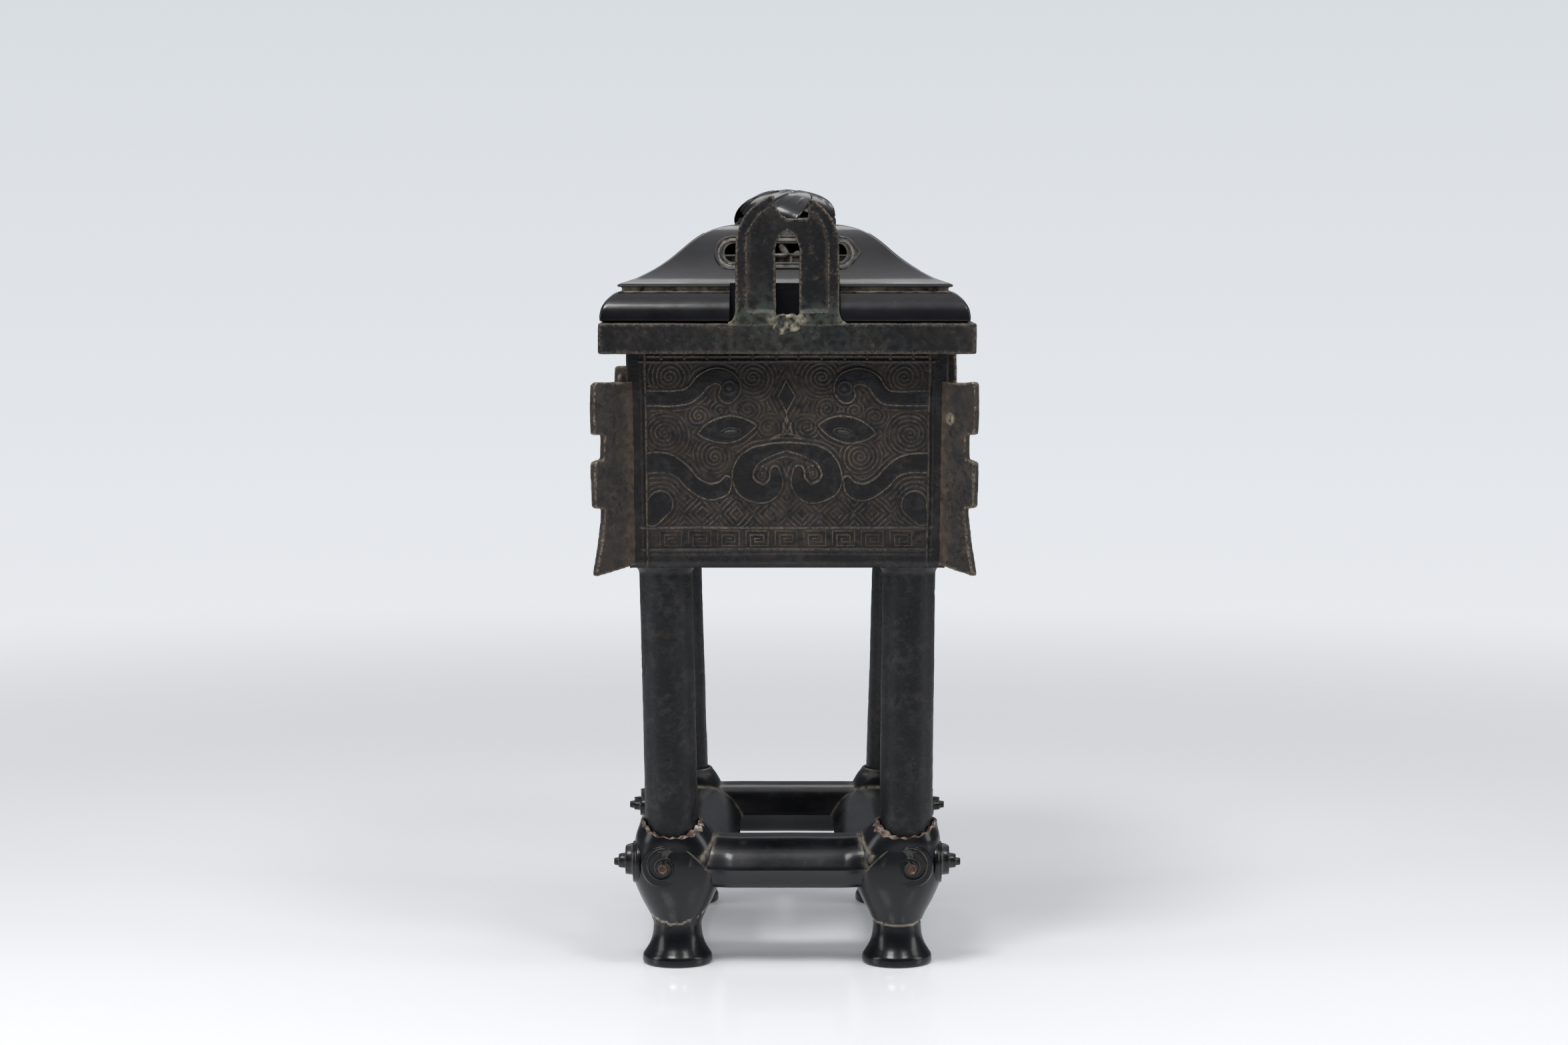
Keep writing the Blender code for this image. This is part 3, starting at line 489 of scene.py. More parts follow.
def rectangle_stack(
    half: tuple[float, float], sections: Iterable[Sequence[float]], base: float, corner: float,
    beside: tuple[int, int]
) -> np.ndarray:
    """Rings of rounded rectangles, one above the other.

    Args:
        half: half the width and half the depth of the widest one.
        sections: how far in each ring lies, and its height above the base.
        base: the height of the base.
        corner: the corner radius.
        beside: points along the sides parallel to X and to Y.

    Returns:
        An array of rings, points and coordinates.
    """
    return np.array([
        level_ring(rectangle_ring(half[0] - inset, half[1] - inset, corner, *beside), base + rise)
        for inset, rise in sections
    ])


def read_rows(items: Sequence[object], label: str, width: int, kind: type = float) -> np.ndarray:
    """Reads one property of all points or edges.

    Args:
        items: the points or edges.
        label: the property.
        width: how many numbers each has.
        kind: the type of the numbers.

    Returns:
        One row for each item.
    """
    flat = np.zeros(len(items) * width, kind)
    items.foreach_get(label, flat)
    return flat.reshape(-1, width)


def read_points(obj: Piece) -> np.ndarray:
    """The object's points in millimetres."""
    return read_rows(obj.data.vertices, "co", 3) / MM


def write_points(obj: Piece, points: np.ndarray) -> None:
    """Puts points in millimetres back into the mesh."""
    obj.data.vertices.foreach_set("co", (points * MM).ravel())
    obj.data.update()


def read_normals(obj: Piece) -> np.ndarray:
    """The outward direction at each of the object's points."""
    return read_rows(obj.data.vertex_normals, "vector", 3)


def read_edges(obj: Piece) -> np.ndarray:
    """The two point numbers of each of the object's edges."""
    return read_rows(obj.data.edges, "vertices", 2, np.int64)


def push_out(obj: Piece, rise: np.ndarray) -> None:
    """Moves each point outwards by its own number of millimetres."""
    write_points(obj, read_points(obj) + read_normals(obj) * rise[:, None])


def settle(obj: Piece) -> Piece:
    """Turns live modifiers into a plain mesh.

    Args:
        obj: a mesh or curve object.

    Returns:
        A mesh object of the same name, without modifiers, at the origin.
    """
    bpy.context.view_layer.update()
    evaluated = obj.evaluated_get(bpy.context.evaluated_depsgraph_get())
    mesh = bpy.data.meshes.new_from_object(evaluated)
    mesh.transform(obj.matrix_world)
    name = obj.name
    bpy.data.objects.remove(obj, do_unlink=True)
    return to_scene(name, mesh)


def combine(obj: Piece, tools: Sequence[Piece], operation: str) -> Piece:
    """Joins solids to a piece or cuts them out of it.

    Args:
        obj: the piece.
        tools: the solids, which are used up.
        operation: UNION or DIFFERENCE.

    Returns:
        The changed piece.
    """
    for tool in tools:
        modifier = obj.modifiers.new(tool.name, "BOOLEAN")
        modifier.operation = operation
        modifier.solver = "MANIFOLD"
        modifier.object = tool
    obj = settle(obj)
    for tool in tools:
        bpy.data.objects.remove(tool, do_unlink=True)
    return obj


def merge(name: str, pieces: Sequence[Piece]) -> Piece:
    """Puts several meshes into one object without welding them.

    Args:
        name: the new object's name.
        pieces: the objects, which are used up.

    Returns:
        The new object.
    """
    bm = bmesh.new()
    for piece in pieces:
        bm.from_mesh(piece.data)
        bpy.data.objects.remove(piece, do_unlink=True)
    mesh = bpy.data.meshes.new(name)
    bm.to_mesh(mesh)
    bm.free()
    return to_scene(name, mesh)


def remesh(obj: Piece, voxel: float, smoothing: int) -> Piece:
    """Gives a piece an even skin of small quads with softened edges.

    Args:
        obj: the piece.
        voxel: the size of the quads.
        smoothing: how often the skin is smoothed.

    Returns:
        The new piece.
    """
    modifier = obj.modifiers.new("remesh", "REMESH")
    modifier.mode = "VOXEL"
    modifier.voxel_size = voxel * MM
    modifier.use_smooth_shade = True
    smooth = obj.modifiers.new("smooth", "SMOOTH")
    smooth.factor = 0.5
    smooth.iterations = smoothing
    return settle(obj)


def paint(obj: Piece, name: str, values: np.ndarray | float) -> None:
    """Stores a number from 0 to 1 at each of the object's points.

    Args:
        obj: the piece.
        name: the name that the material reads.
        values: one number for each point, or one for all.
    """
    attribute = obj.data.attributes.get(name) or obj.data.attributes.new(name, "FLOAT", "POINT")
    spread = np.broadcast_to(np.clip(values, 0, 1), len(obj.data.vertices))
    attribute.data.foreach_set("value", spread.astype(np.float32))


def neighbour_mean(edges: np.ndarray, values: np.ndarray, rounds: int) -> np.ndarray:
    """Evens out numbers between neighbouring points.

    Args:
        edges: pairs of point numbers.
        values: one row for each point.
        rounds: how often it is done.

    Returns:
        The evened rows.
    """
    count = len(values)
    both = np.concatenate([edges, edges[:, ::-1]])
    degree = np.maximum(np.bincount(both[:, 0], minlength=count), 1)
    values = values.reshape(count, -1)
    for _ in range(rounds):
        columns = [np.bincount(both[:, 0], column[both[:, 1]], count) for column in values.T]
        values = 0.5 * values + 0.5 * np.array(columns).T / degree[:, None]
    return values


def weather(obj: Piece, reach: int, strength: float) -> tuple[np.ndarray, np.ndarray]:
    """Finds the hollows and the edges of a piece.

    Args:
        obj: the piece.
        reach: how many rings of neighbours are compared.
        strength: how much a millimetre of difference counts.

    Returns:
        How hollow and how exposed each point is, from 0 to 1.
    """
    points = read_points(obj)
    gap = neighbour_mean(read_edges(obj), points, reach) - points
    depth = np.einsum("ij,ij->i", gap, read_normals(obj)) * strength
    return np.clip(depth, 0, 1), np.clip(-depth, 0, 1)


def roughen(obj: Piece, seed: int, bumps: Sequence[tuple[float, float]], pits: float = 0.0) -> None:
    """Makes a clean skin uneven.

    Args:
        obj: the piece.
        seed: the fixed seed of its noise.
        bumps: pairs of bump size and height.
        pits: the depth of scattered small pits.
    """
    grain = Grain(seed)
    points = read_points(obj)
    rise = np.zeros(len(points))
    for size, height in bumps:
        rise += grain.rough(points, size) * height
    if pits:
        rise -= step_between(grain.rough(points + 50, PIT_SIZE), 0.34, 0.62) * pits
    push_out(obj, rise)


def dress(obj: Piece, material: Material, nodes: Sequence[str], sharp: float = 180.0) -> Piece:
    """Gives a finished piece its material and its body, and hides the CAD nodes that it stands for.

    Args:
        obj: the piece.
        material: its material.
        nodes: the CAD nodes that it stands for.
        sharp: the angle over which an edge stays sharp, in degrees.

    Returns:
        The same piece.
    """
    obj.data.materials.clear()
    obj.data.materials.append(material)
    obj.data.shade_smooth()
    if sharp < 180:
        obj.data.set_sharp_from_angle(angle=math.radians(sharp))
    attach(obj, "root")
    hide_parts(*nodes)
    LOG.info("%s: %d faces", obj.name, len(obj.data.polygons))
    return obj


# Geometry Nodes


class NodeTree:
    """A Geometry Nodes tree that is built step by step."""

    def __init__(self, name: str, inputs: Sequence[tuple[str, str, object]]) -> None:
        """Starts a tree with a geometry input and named ones.

        Args:
            name: the tree's name.
            inputs: name, socket type and first value of each further input.
        """
        self.tree = bpy.data.node_groups.new(name, "GeometryNodeTree")
        self.tree.interface.new_socket("Geometry", in_out="INPUT", socket_type="NodeSocketGeometry")
        self.identifiers: dict[str, str] = {}
        for label, kind, value in inputs:
            socket = self.tree.interface.new_socket(label, in_out="INPUT", socket_type=kind)
            if value is not None:
                socket.default_value = value
            self.identifiers[label] = socket.identifier
        self.tree.interface.new_socket("Geometry", in_out="OUTPUT", socket_type="NodeSocketGeometry")
        self.entry = self.tree.nodes.new("NodeGroupInput")

    def add(self, kind: str, **links: object) -> bpy.types.Node:
        """Adds a node and links or sets its inputs.

        Args:
            kind: the node's type.
            links: socket or value for each input, spaces written as underscores.

        Returns:
            The node.
        """
        node = self.tree.nodes.new(kind)
        for label, source in links.items():
            self.feed(source, node.inputs[label.replace("_", " ")])
        return node

    def feed(self, source: object, socket: Socket) -> None:
        """Links or sets one input of a node.

        Args:
            source: the socket or value that it gets.
            socket: the input.
        """
        if isinstance(source, Socket):
            self.tree.links.new(source, socket)
        else:
            socket.default_value = source

    def work(self, operation: str, *values: object) -> Socket:
        """Adds a sum of two numbers.

        Args:
            operation: the kind of sum.
            values: socket or number for each side of it.

        Returns:
            The result.
        """
        node = self.add("ShaderNodeMath")
        node.operation = operation
        for source, socket in zip(values, node.inputs):
            self.feed(source, socket)
        return node.outputs[0]

    def end(self, geometry: Socket) -> None:
        """Ends the tree with real geometry and its material.

        Args:
            geometry: the socket that holds the shape.
        """
        real = self.add("GeometryNodeRealizeInstances", Geometry=geometry)
        painted = self.add(
            "GeometryNodeSetMaterial", Geometry=real.outputs[0], Material=self.entry.outputs["Material"]
        )
        leave = self.tree.nodes.new("NodeGroupOutput")
        self.tree.links.new(painted.outputs[0], leave.inputs[0])

    def run(self, obj: Piece, values: dict[str, object]) -> Piece:
        """Runs the tree on an object and keeps the result as a plain mesh.

        Args:
            obj: the object that the tree starts from.
            values: a value for each named input.

        Returns:
            The plain mesh object.
        """
        modifier = obj.modifiers.new("nodes", "NODES")
        modifier.node_group = self.tree
        for label, value in values.items():
            modifier[self.identifiers[label]] = value
        return settle(obj)


def bead_tree() -> NodeTree:
    """A tree that sweeps a round bead along a curve, as thick as the curve's own radius says.

    Returns:
        The tree.
    """
    tree = NodeTree("bead", [("Sides", "NodeSocketInt", 8), ("Material", "NodeSocketMaterial", None)])
    circle = tree.add("GeometryNodeCurvePrimitiveCircle", Resolution=tree.entry.outputs["Sides"], Radius=1.0)
    radius = tree.add("GeometryNodeInputRadius")
    swept = tree.add(
        "GeometryNodeCurveToMesh", Curve=tree.entry.outputs["Geometry"],
        Profile_Curve=circle.outputs["Curve"], Scale=radius.outputs[0], Fill_Caps=True
    )
    tree.end(swept.outputs[0])
    return tree


def row_tree() -> NodeTree:
    """A tree that repeats an object along a straight row.

    Returns:
        The tree.
    """
    inputs = [
        ("Item", "NodeSocketObject", None), ("Count", "NodeSocketInt", 5),
        ("Pitch", "NodeSocketFloat", 0.01), ("Start", "NodeSocketVector", (0.0, 0.0, 0.0)),
        ("Material", "NodeSocketMaterial", None)
    ]
    tree = NodeTree("row", inputs)
    offset = tree.add("ShaderNodeCombineXYZ", X=tree.entry.outputs["Pitch"])
    line = tree.add(
        "GeometryNodeMeshLine", Count=tree.entry.outputs["Count"],
        Start_Location=tree.entry.outputs["Start"], Offset=offset.outputs[0]
    )
    item = tree.add("GeometryNodeObjectInfo", Object=tree.entry.outputs["Item"])
    spread = tree.add(
        "GeometryNodeInstanceOnPoints", Points=line.outputs[0], Instance=item.outputs["Geometry"]
    )
    tree.end(spread.outputs[0])
    return tree


def wheel_tree() -> NodeTree:
    """A tree that repeats an object round the upright axis.

    Returns:
        The tree.
    """
    inputs = [
        ("Item", "NodeSocketObject", None), ("Count", "NodeSocketInt", 8),
        ("Material", "NodeSocketMaterial", None)
    ]
    tree = NodeTree("wheel", inputs)
    count = tree.entry.outputs["Count"]
    line = tree.add("GeometryNodeMeshLine", Count=count, Offset=(0.0, 0.0, 0.0))
    share = tree.work("DIVIDE", tree.add("GeometryNodeInputIndex").outputs[0], count)
    rotation = tree.add("ShaderNodeCombineXYZ", Z=tree.work("MULTIPLY", share, 2 * math.pi))
    item = tree.add("GeometryNodeObjectInfo", Object=tree.entry.outputs["Item"])
    spread = tree.add(
        "GeometryNodeInstanceOnPoints", Points=line.outputs[0], Instance=item.outputs["Geometry"],
        Rotation=rotation.outputs[0]
    )
    tree.end(spread.outputs[0])
    return tree


def bead(
    name: str, tree: NodeTree, path: np.ndarray, radii: np.ndarray, material: Material,
    cyclic: bool = False, sides: int = 8
) -> Piece:
    """Sweeps a bead along a path with Geometry Nodes.

    Args:
        name: the object's name.
        tree: the bead tree.
        path: rows of X, Y and Z.
        radii: the bead's radius at each row.
        material: its material.
        cyclic: whether the path closes on itself.
        sides: how many sides the bead has.

    Returns:
        The bead as a plain mesh.
    """
    curve = bpy.data.curves.new(name, "CURVE")
    curve.dimensions = "3D"
    spline = curve.splines.new("POLY")
    spline.points.add(len(path) - 1)
    flat = np.column_stack([path * MM, np.ones(len(path))])
    spline.points.foreach_set("co", flat.ravel())
    spline.points.foreach_set("radius", np.asarray(radii, float) * MM)
    spline.use_cyclic_u = cyclic
    obj = tree.run(to_scene(name, curve), {"Sides": sides, "Material": material})
    face_outwards(obj.data, WELD)
    return obj


# Finishes


@dataclass(frozen=True)
class Cloud:
    """Cloudy noise: a cloud's size in millimetres, its detail, and the values that become 0 and 1."""

    size: float
    detail: float
    low: float
    high: float

    @property
    def span(self) -> tuple[float, float]:
        """The values that become 0 and 1."""
        return self.low, self.high


class Shading:
    """Adds shader nodes one at a time and hands back their output sockets."""

    def __init__(self, name: str) -> None:
        """Starts a material with one Principled shader.

        Args:
            name: the material's name.
        """
        self.material = bpy.data.materials.new(name)
        self.material.use_nodes = True
        self.tree = self.material.node_tree
        self.shader = self.tree.nodes["Principled BSDF"]
        self.place = self.tree.nodes.new("ShaderNodeTexCoord").outputs["Object"]

    def link(self, source: object, socket: Socket) -> None:
        """Links or sets an input.

        Args:
            source: the socket, number or colour that it gets.
            socket: the input.
        """
        if isinstance(source, Socket):
            self.tree.links.new(source, socket)
        else:
            socket.default_value = (*source, 1.0) if isinstance(source, tuple) else source

    def stretch(self, scale: tuple[float, float, float]) -> Socket:
        """Squeezes the object's coordinates.

        Args:
            scale: the factor along each axis.

        Returns:
            The squeezed coordinates.
        """
        node = self.tree.nodes.new("ShaderNodeMapping")
        node.inputs["Scale"].default_value = scale
        self.link(self.place, node.inputs["Vector"])
        return node.outputs[0]

    def noise(self, cloud: Cloud, place: Socket | None = None) -> Socket:
        """Adds cloudy noise.

        Args:
            cloud: its size and detail.
            place: coordinates, if they aren't the plain ones.

        Returns:
            The noise, about 0.3 to 0.7.
        """
        node = self.tree.nodes.new("ShaderNodeTexNoise")
        node.inputs["Scale"].default_value = 1 / (cloud.size * MM)
        node.inputs["Detail"].default_value = cloud.detail
        self.link(place or self.place, node.inputs["Vector"])
        return node.outputs["Fac"]

    def patches(self, cloud: Cloud) -> Socket:
        """Cloudy noise from 0 to 1."""
        return self.share(self.noise(cloud), *cloud.span)

    def stored(self, name: str) -> Socket:
        """Reads the number that is stored at the points.

        Args:
            name: the name that it was painted under.

        Returns:
            The number.
        """
        node = self.tree.nodes.new("ShaderNodeAttribute")
        node.attribute_name = name
        return node.outputs["Fac"]

    def share(self, value: object, low: float, high: float) -> Socket:
        """Maps a range onto 0 to 1.

        Args:
            value: the socket or number to map.
            low: the value that becomes 0.
            high: the value that becomes 1.

        Returns:
            The mapped value.
        """
        node = self.tree.nodes.new("ShaderNodeMapRange")
        node.inputs["From Min"].default_value = low
        node.inputs["From Max"].default_value = high
        self.link(value, node.inputs["Value"])
        return node.outputs[0]

    def work(self, operation: str, first: object, second: object) -> Socket:
        """Adds one sum, kept between 0 and 1.

        Args:
            operation: the kind of sum.
            first: its first socket or number.
            second: its second one.

        Returns:
            The result.
        """
        node = self.tree.nodes.new("ShaderNodeMath")
        node.operation = operation
        node.use_clamp = True
        self.link(first, node.inputs[0])
        self.link(second, node.inputs[1])
        return node.outputs[0]

    def times(self, first: object, second: object) -> Socket:
        """The product of two sockets or numbers."""
        return self.work("MULTIPLY", first, second)

    def blend(self, factor: object, first: object, second: object) -> Socket:
        """Mixes two colours.

        Args:
            factor: how much of the second one shows.
            first: the first colour.
            second: the second colour.

        Returns:
            The mixed colour.
        """
        node = self.tree.nodes.new("ShaderNodeMix")
        node.data_type = "RGBA"
        colour_inputs = [socket for socket in node.inputs if socket.type == "RGBA"]
        self.link(factor, node.inputs[0])
        self.link(first, colour_inputs[0])
        self.link(second, colour_inputs[1])
        return next(socket for socket in node.outputs if socket.type == "RGBA")

    def cover(self, colour: object, layers: Sequence[tuple[object, object]]) -> Socket:
        """Lays colours over each other.

        Args:
            colour: the lowest colour.
            layers: how much of it shows, and the colour, of each layer from below.

        Returns:
            The colour on top.
        """
        for factor, tone in layers:
            colour = self.blend(factor, colour, tone)
        return colour

    def bump(self, height: object, strength: float, distance: float, below: Socket | None = None) -> Socket:
        """Turns heights into a bumpy surface direction.

        Args:
            height: the heights.
            strength: how strongly they show.
            distance: the height of a full bump in millimetres.
            below: the direction of bumps under these.

        Returns:
            The direction.
        """
        node = self.tree.nodes.new("ShaderNodeBump")
        node.inputs["Strength"].default_value = strength
        node.inputs["Distance"].default_value = distance * MM
        self.link(height, node.inputs["Height"])
        if below is not None:
            self.link(below, node.inputs["Normal"])
        return node.outputs[0]

    def give(self, inputs: dict[str, object]) -> Material:
        """Links or sets inputs of the shader.

        Args:
            inputs: the socket, number or colour of each input by name.

        Returns:
            The material.
        """
        for label, source in inputs.items():
            self.link(source, self.shader.inputs[label])
        return self.material


@dataclass(frozen=True)
class BronzeFinish:
    """Old cast bronze: near-black, pitted, brown earth in its hollows, worn paler on its edges; on the relief
    walls the same earth and worn layers also lay painted highlight on crests and painted shade in grooves.
    """

    name: str = "bronze_patina"
    dark: Colour = (0.0045, 0.005, 0.0065)
    light: Colour = (0.018, 0.0185, 0.0205)
    pale: Colour = (0.085, 0.078, 0.070)
    # Earth and worn colours: also used as painted highlight on the relief walls' crests.
    earth: Colour = (0.088, 0.062, 0.041)
    worn: Colour = (0.33, 0.265, 0.195)
    crust: Colour = (0.34, 0.31, 0.22)
    verdigris: Colour = (0.045, 0.055, 0.046)
    red: Colour = (0.070, 0.032, 0.018)
    mottle: Cloud = Cloud(2.4, 7.0, 0.40, 0.60)
    shade: Cloud = Cloud(9.0, 5.0, 0.60, 0.44)
    specks: Cloud = Cloud(0.45, 3.0, 0.62, 0.74)
    rust: Cloud = Cloud(5.0, 6.0, 0.60, 0.72)
    soil: Cloud = Cloud(3.2, 4.0, 0.25, 0.62)
    blots: Cloud = Cloud(1.7, 5.0, 0.52, 0.60)
    blot_areas: Cloud = Cloud(12.0, 3.0, 0.42, 0.58)
    rubbing: Cloud = Cloud(0.9, 5.0, 0.36, 0.62)
    green_patches: Cloud = Cloud(2.4, 5.0, 0.38, 0.60)
    crust_patches: Cloud = Cloud(1.3, 5.0, 0.34, 0.56)
    pit_span: tuple[float, float] = (0.30, 0.62)
    speck_share: float = 0.24
    rust_share: float = 0.25
    blot_share: float = 0.85
    smoothest: float = 0.30
    roughness_range: float = 0.30
    dull_range: float = 0.32
    metallic: float = 0.2
    specular: float = 0.38

    def material(self) -> Material:
        """Builds the material.

        Returns:
            The material.
        """
        make = Shading(self.name)
        broad, fine, speck = (make.noise(cloud) for cloud in (self.shade, self.rubbing, self.specks))
        dust = make.times(make.stored("dust"), make.patches(self.soil))
        blot = make.times(make.patches(self.blots), self.blot_share)
        blot = make.times(blot, make.patches(self.blot_areas))
        crust = make.times(make.stored("crust"), make.patches(self.crust_patches))
        colour = make.blend(make.patches(self.mottle), self.dark, self.light)
        colour = make.cover(colour, (
            (make.share(broad, *self.shade.span), self.dark),
            (make.times(make.share(speck, *self.specks.span), self.speck_share), self.pale),
            (make.times(make.patches(self.rust), self.rust_share), self.red),
            # On the relief walls these earth and worn layers also carry painted shade in the grooves and
            # painted highlight on the crests.
            (dust, self.earth),
            (blot, self.dark),
            (make.times(make.stored("wear"), make.share(fine, *self.rubbing.span)), self.worn),
            (make.times(make.stored("green"), make.patches(self.green_patches)), self.verdigris),
            (crust, self.crust),
        ))
        dull = make.times(make.work("MAXIMUM", dust, crust), self.dull_range)
        rough = make.work("ADD", make.times(fine, self.roughness_range), self.smoothest)
        uneven = make.bump(broad, 0.25, 0.5)
        pits = make.bump(make.share(fine, *self.pit_span), 0.55, 0.10, uneven)
        return make.give({
            "Base Color": colour, "Roughness": make.work("ADD", rough, dull), "Metallic": self.metallic,
            "Specular IOR Level": self.specular, "Normal": make.bump(speck, 0.45, 0.05, pits)
        })


@dataclass(frozen=True)
class WoodFinish:
    """Blackened polished hardwood, with pale dust in its grooves and raw wood where it is broken."""

    name: str
    dark: Colour = (0.0022, 0.0022, 0.0032)
    light: Colour = (0.0065, 0.0065, 0.0085)
    streak: Colour = (0.017, 0.015, 0.015)
    powder: Colour = (0.34, 0.30, 0.23)
    raw: Colour = (0.115, 0.062, 0.044)
    pale: Colour = (0.50, 0.44, 0.36)
    grain: Cloud = Cloud(1.1, 6.0, 0.58, 0.72)
    shade: Cloud = Cloud(14.0, 4.0, 0.34, 0.68)
    film: Cloud = Cloud(2.6, 4.0, 0.30, 0.60)
    motes: Cloud = Cloud(0.5, 3.0, 0.70, 0.76)
    mote_areas: Cloud = Cloud(9.0, 4.0, 0.50, 0.62)
    splinters: Cloud = Cloud(0.7, 4.0, 0.25, 0.50)
    polish_span: tuple[float, float] = (0.3, 0.7)
    grain_stretch: tuple[float, float, float] = (0.16, 1.0, 1.0)
    streak_share: float = 0.35
    mote_share: float = 0.35
    dull_range: float = 0.45
    polish_range: float = 0.12
    gloss: float = 0.25
    specular: float = 0.24
    sheen: float = 0.4
    sheen_roughness: float = 0.13

    def material(self) -> Material:
        """Builds the material.

        Returns:
            The material.
        """
        make = Shading(self.name)
        grain = make.noise(self.grain, make.stretch(self.grain_stretch))
        cloud = make.noise(self.shade)
        film = make.times(make.stored("dust"), make.patches(self.film))
        motes = make.times(make.patches(self.motes), make.patches(self.mote_areas))
        powder = make.work("MAXIMUM", film, make.times(motes, self.mote_share))
        raw = make.times(make.stored("raw"), make.patches(self.splinters))
        colour = make.blend(make.share(cloud, *self.shade.span), self.dark, self.light)
        colour = make.cover(colour, (
            (make.times(make.share(grain, *self.grain.span), self.streak_share), self.streak),
            (powder, self.powder), (raw, self.raw), (make.stored("pale"), self.pale)
        ))
        dull = make.times(make.work("MAXIMUM", powder, raw), self.dull_range)
        polish = make.times(make.share(cloud, *self.polish_span), self.polish_range)
        polish = make.work("ADD", polish, self.gloss)
        pores = make.bump(grain, 0.30, 0.05)
        return make.give({
            "Base Color": colour, "Roughness": make.work("ADD", polish, dull), "Metallic": 0.0,
            "Specular IOR Level": self.specular, "Coat Weight": self.sheen,
            "Coat Roughness": self.sheen_roughness, "Normal": make.bump(cloud, 0.18, 0.5, pores)
        })


@dataclass(frozen=True)
class FloorFinish:
    """A pale glossy table top that fades into the background."""

    name: str = "pale_table"
    colour: Colour = (0.90, 0.905, 0.92)
    tint: Colour = (0.95, 0.97, 1.0)
    roughness: float = 0.08
    specular: float = 0.6
    glow: float = 0.13
    near: float = 0.32
    far: float = 1.15

    def material(self) -> Material:
        """Builds the material.

        Returns:
            The material.
        """
        make = Shading(self.name)
        length = make.tree.nodes.new("ShaderNodeVectorMath")
        length.operation = "LENGTH"
        make.link(make.place, length.inputs[0])
        fade = make.tree.nodes.new("ShaderNodeMapRange")
        fade.interpolation_type = "SMOOTHSTEP"
        ends = {"From Min": self.near, "From Max": self.far, "To Min": 1.0, "To Max": 0.0}
        for label, value in ends.items():
            fade.inputs[label].default_value = value
        make.link(length.outputs["Value"], fade.inputs["Value"])
        return make.give({
            "Base Color": self.colour, "Roughness": self.roughness, "Specular IOR Level": self.specular,
            "Emission Color": self.tint, "Emission Strength": self.glow, "Alpha": fade.outputs[0]
        })


# Relief of the vessel's walls


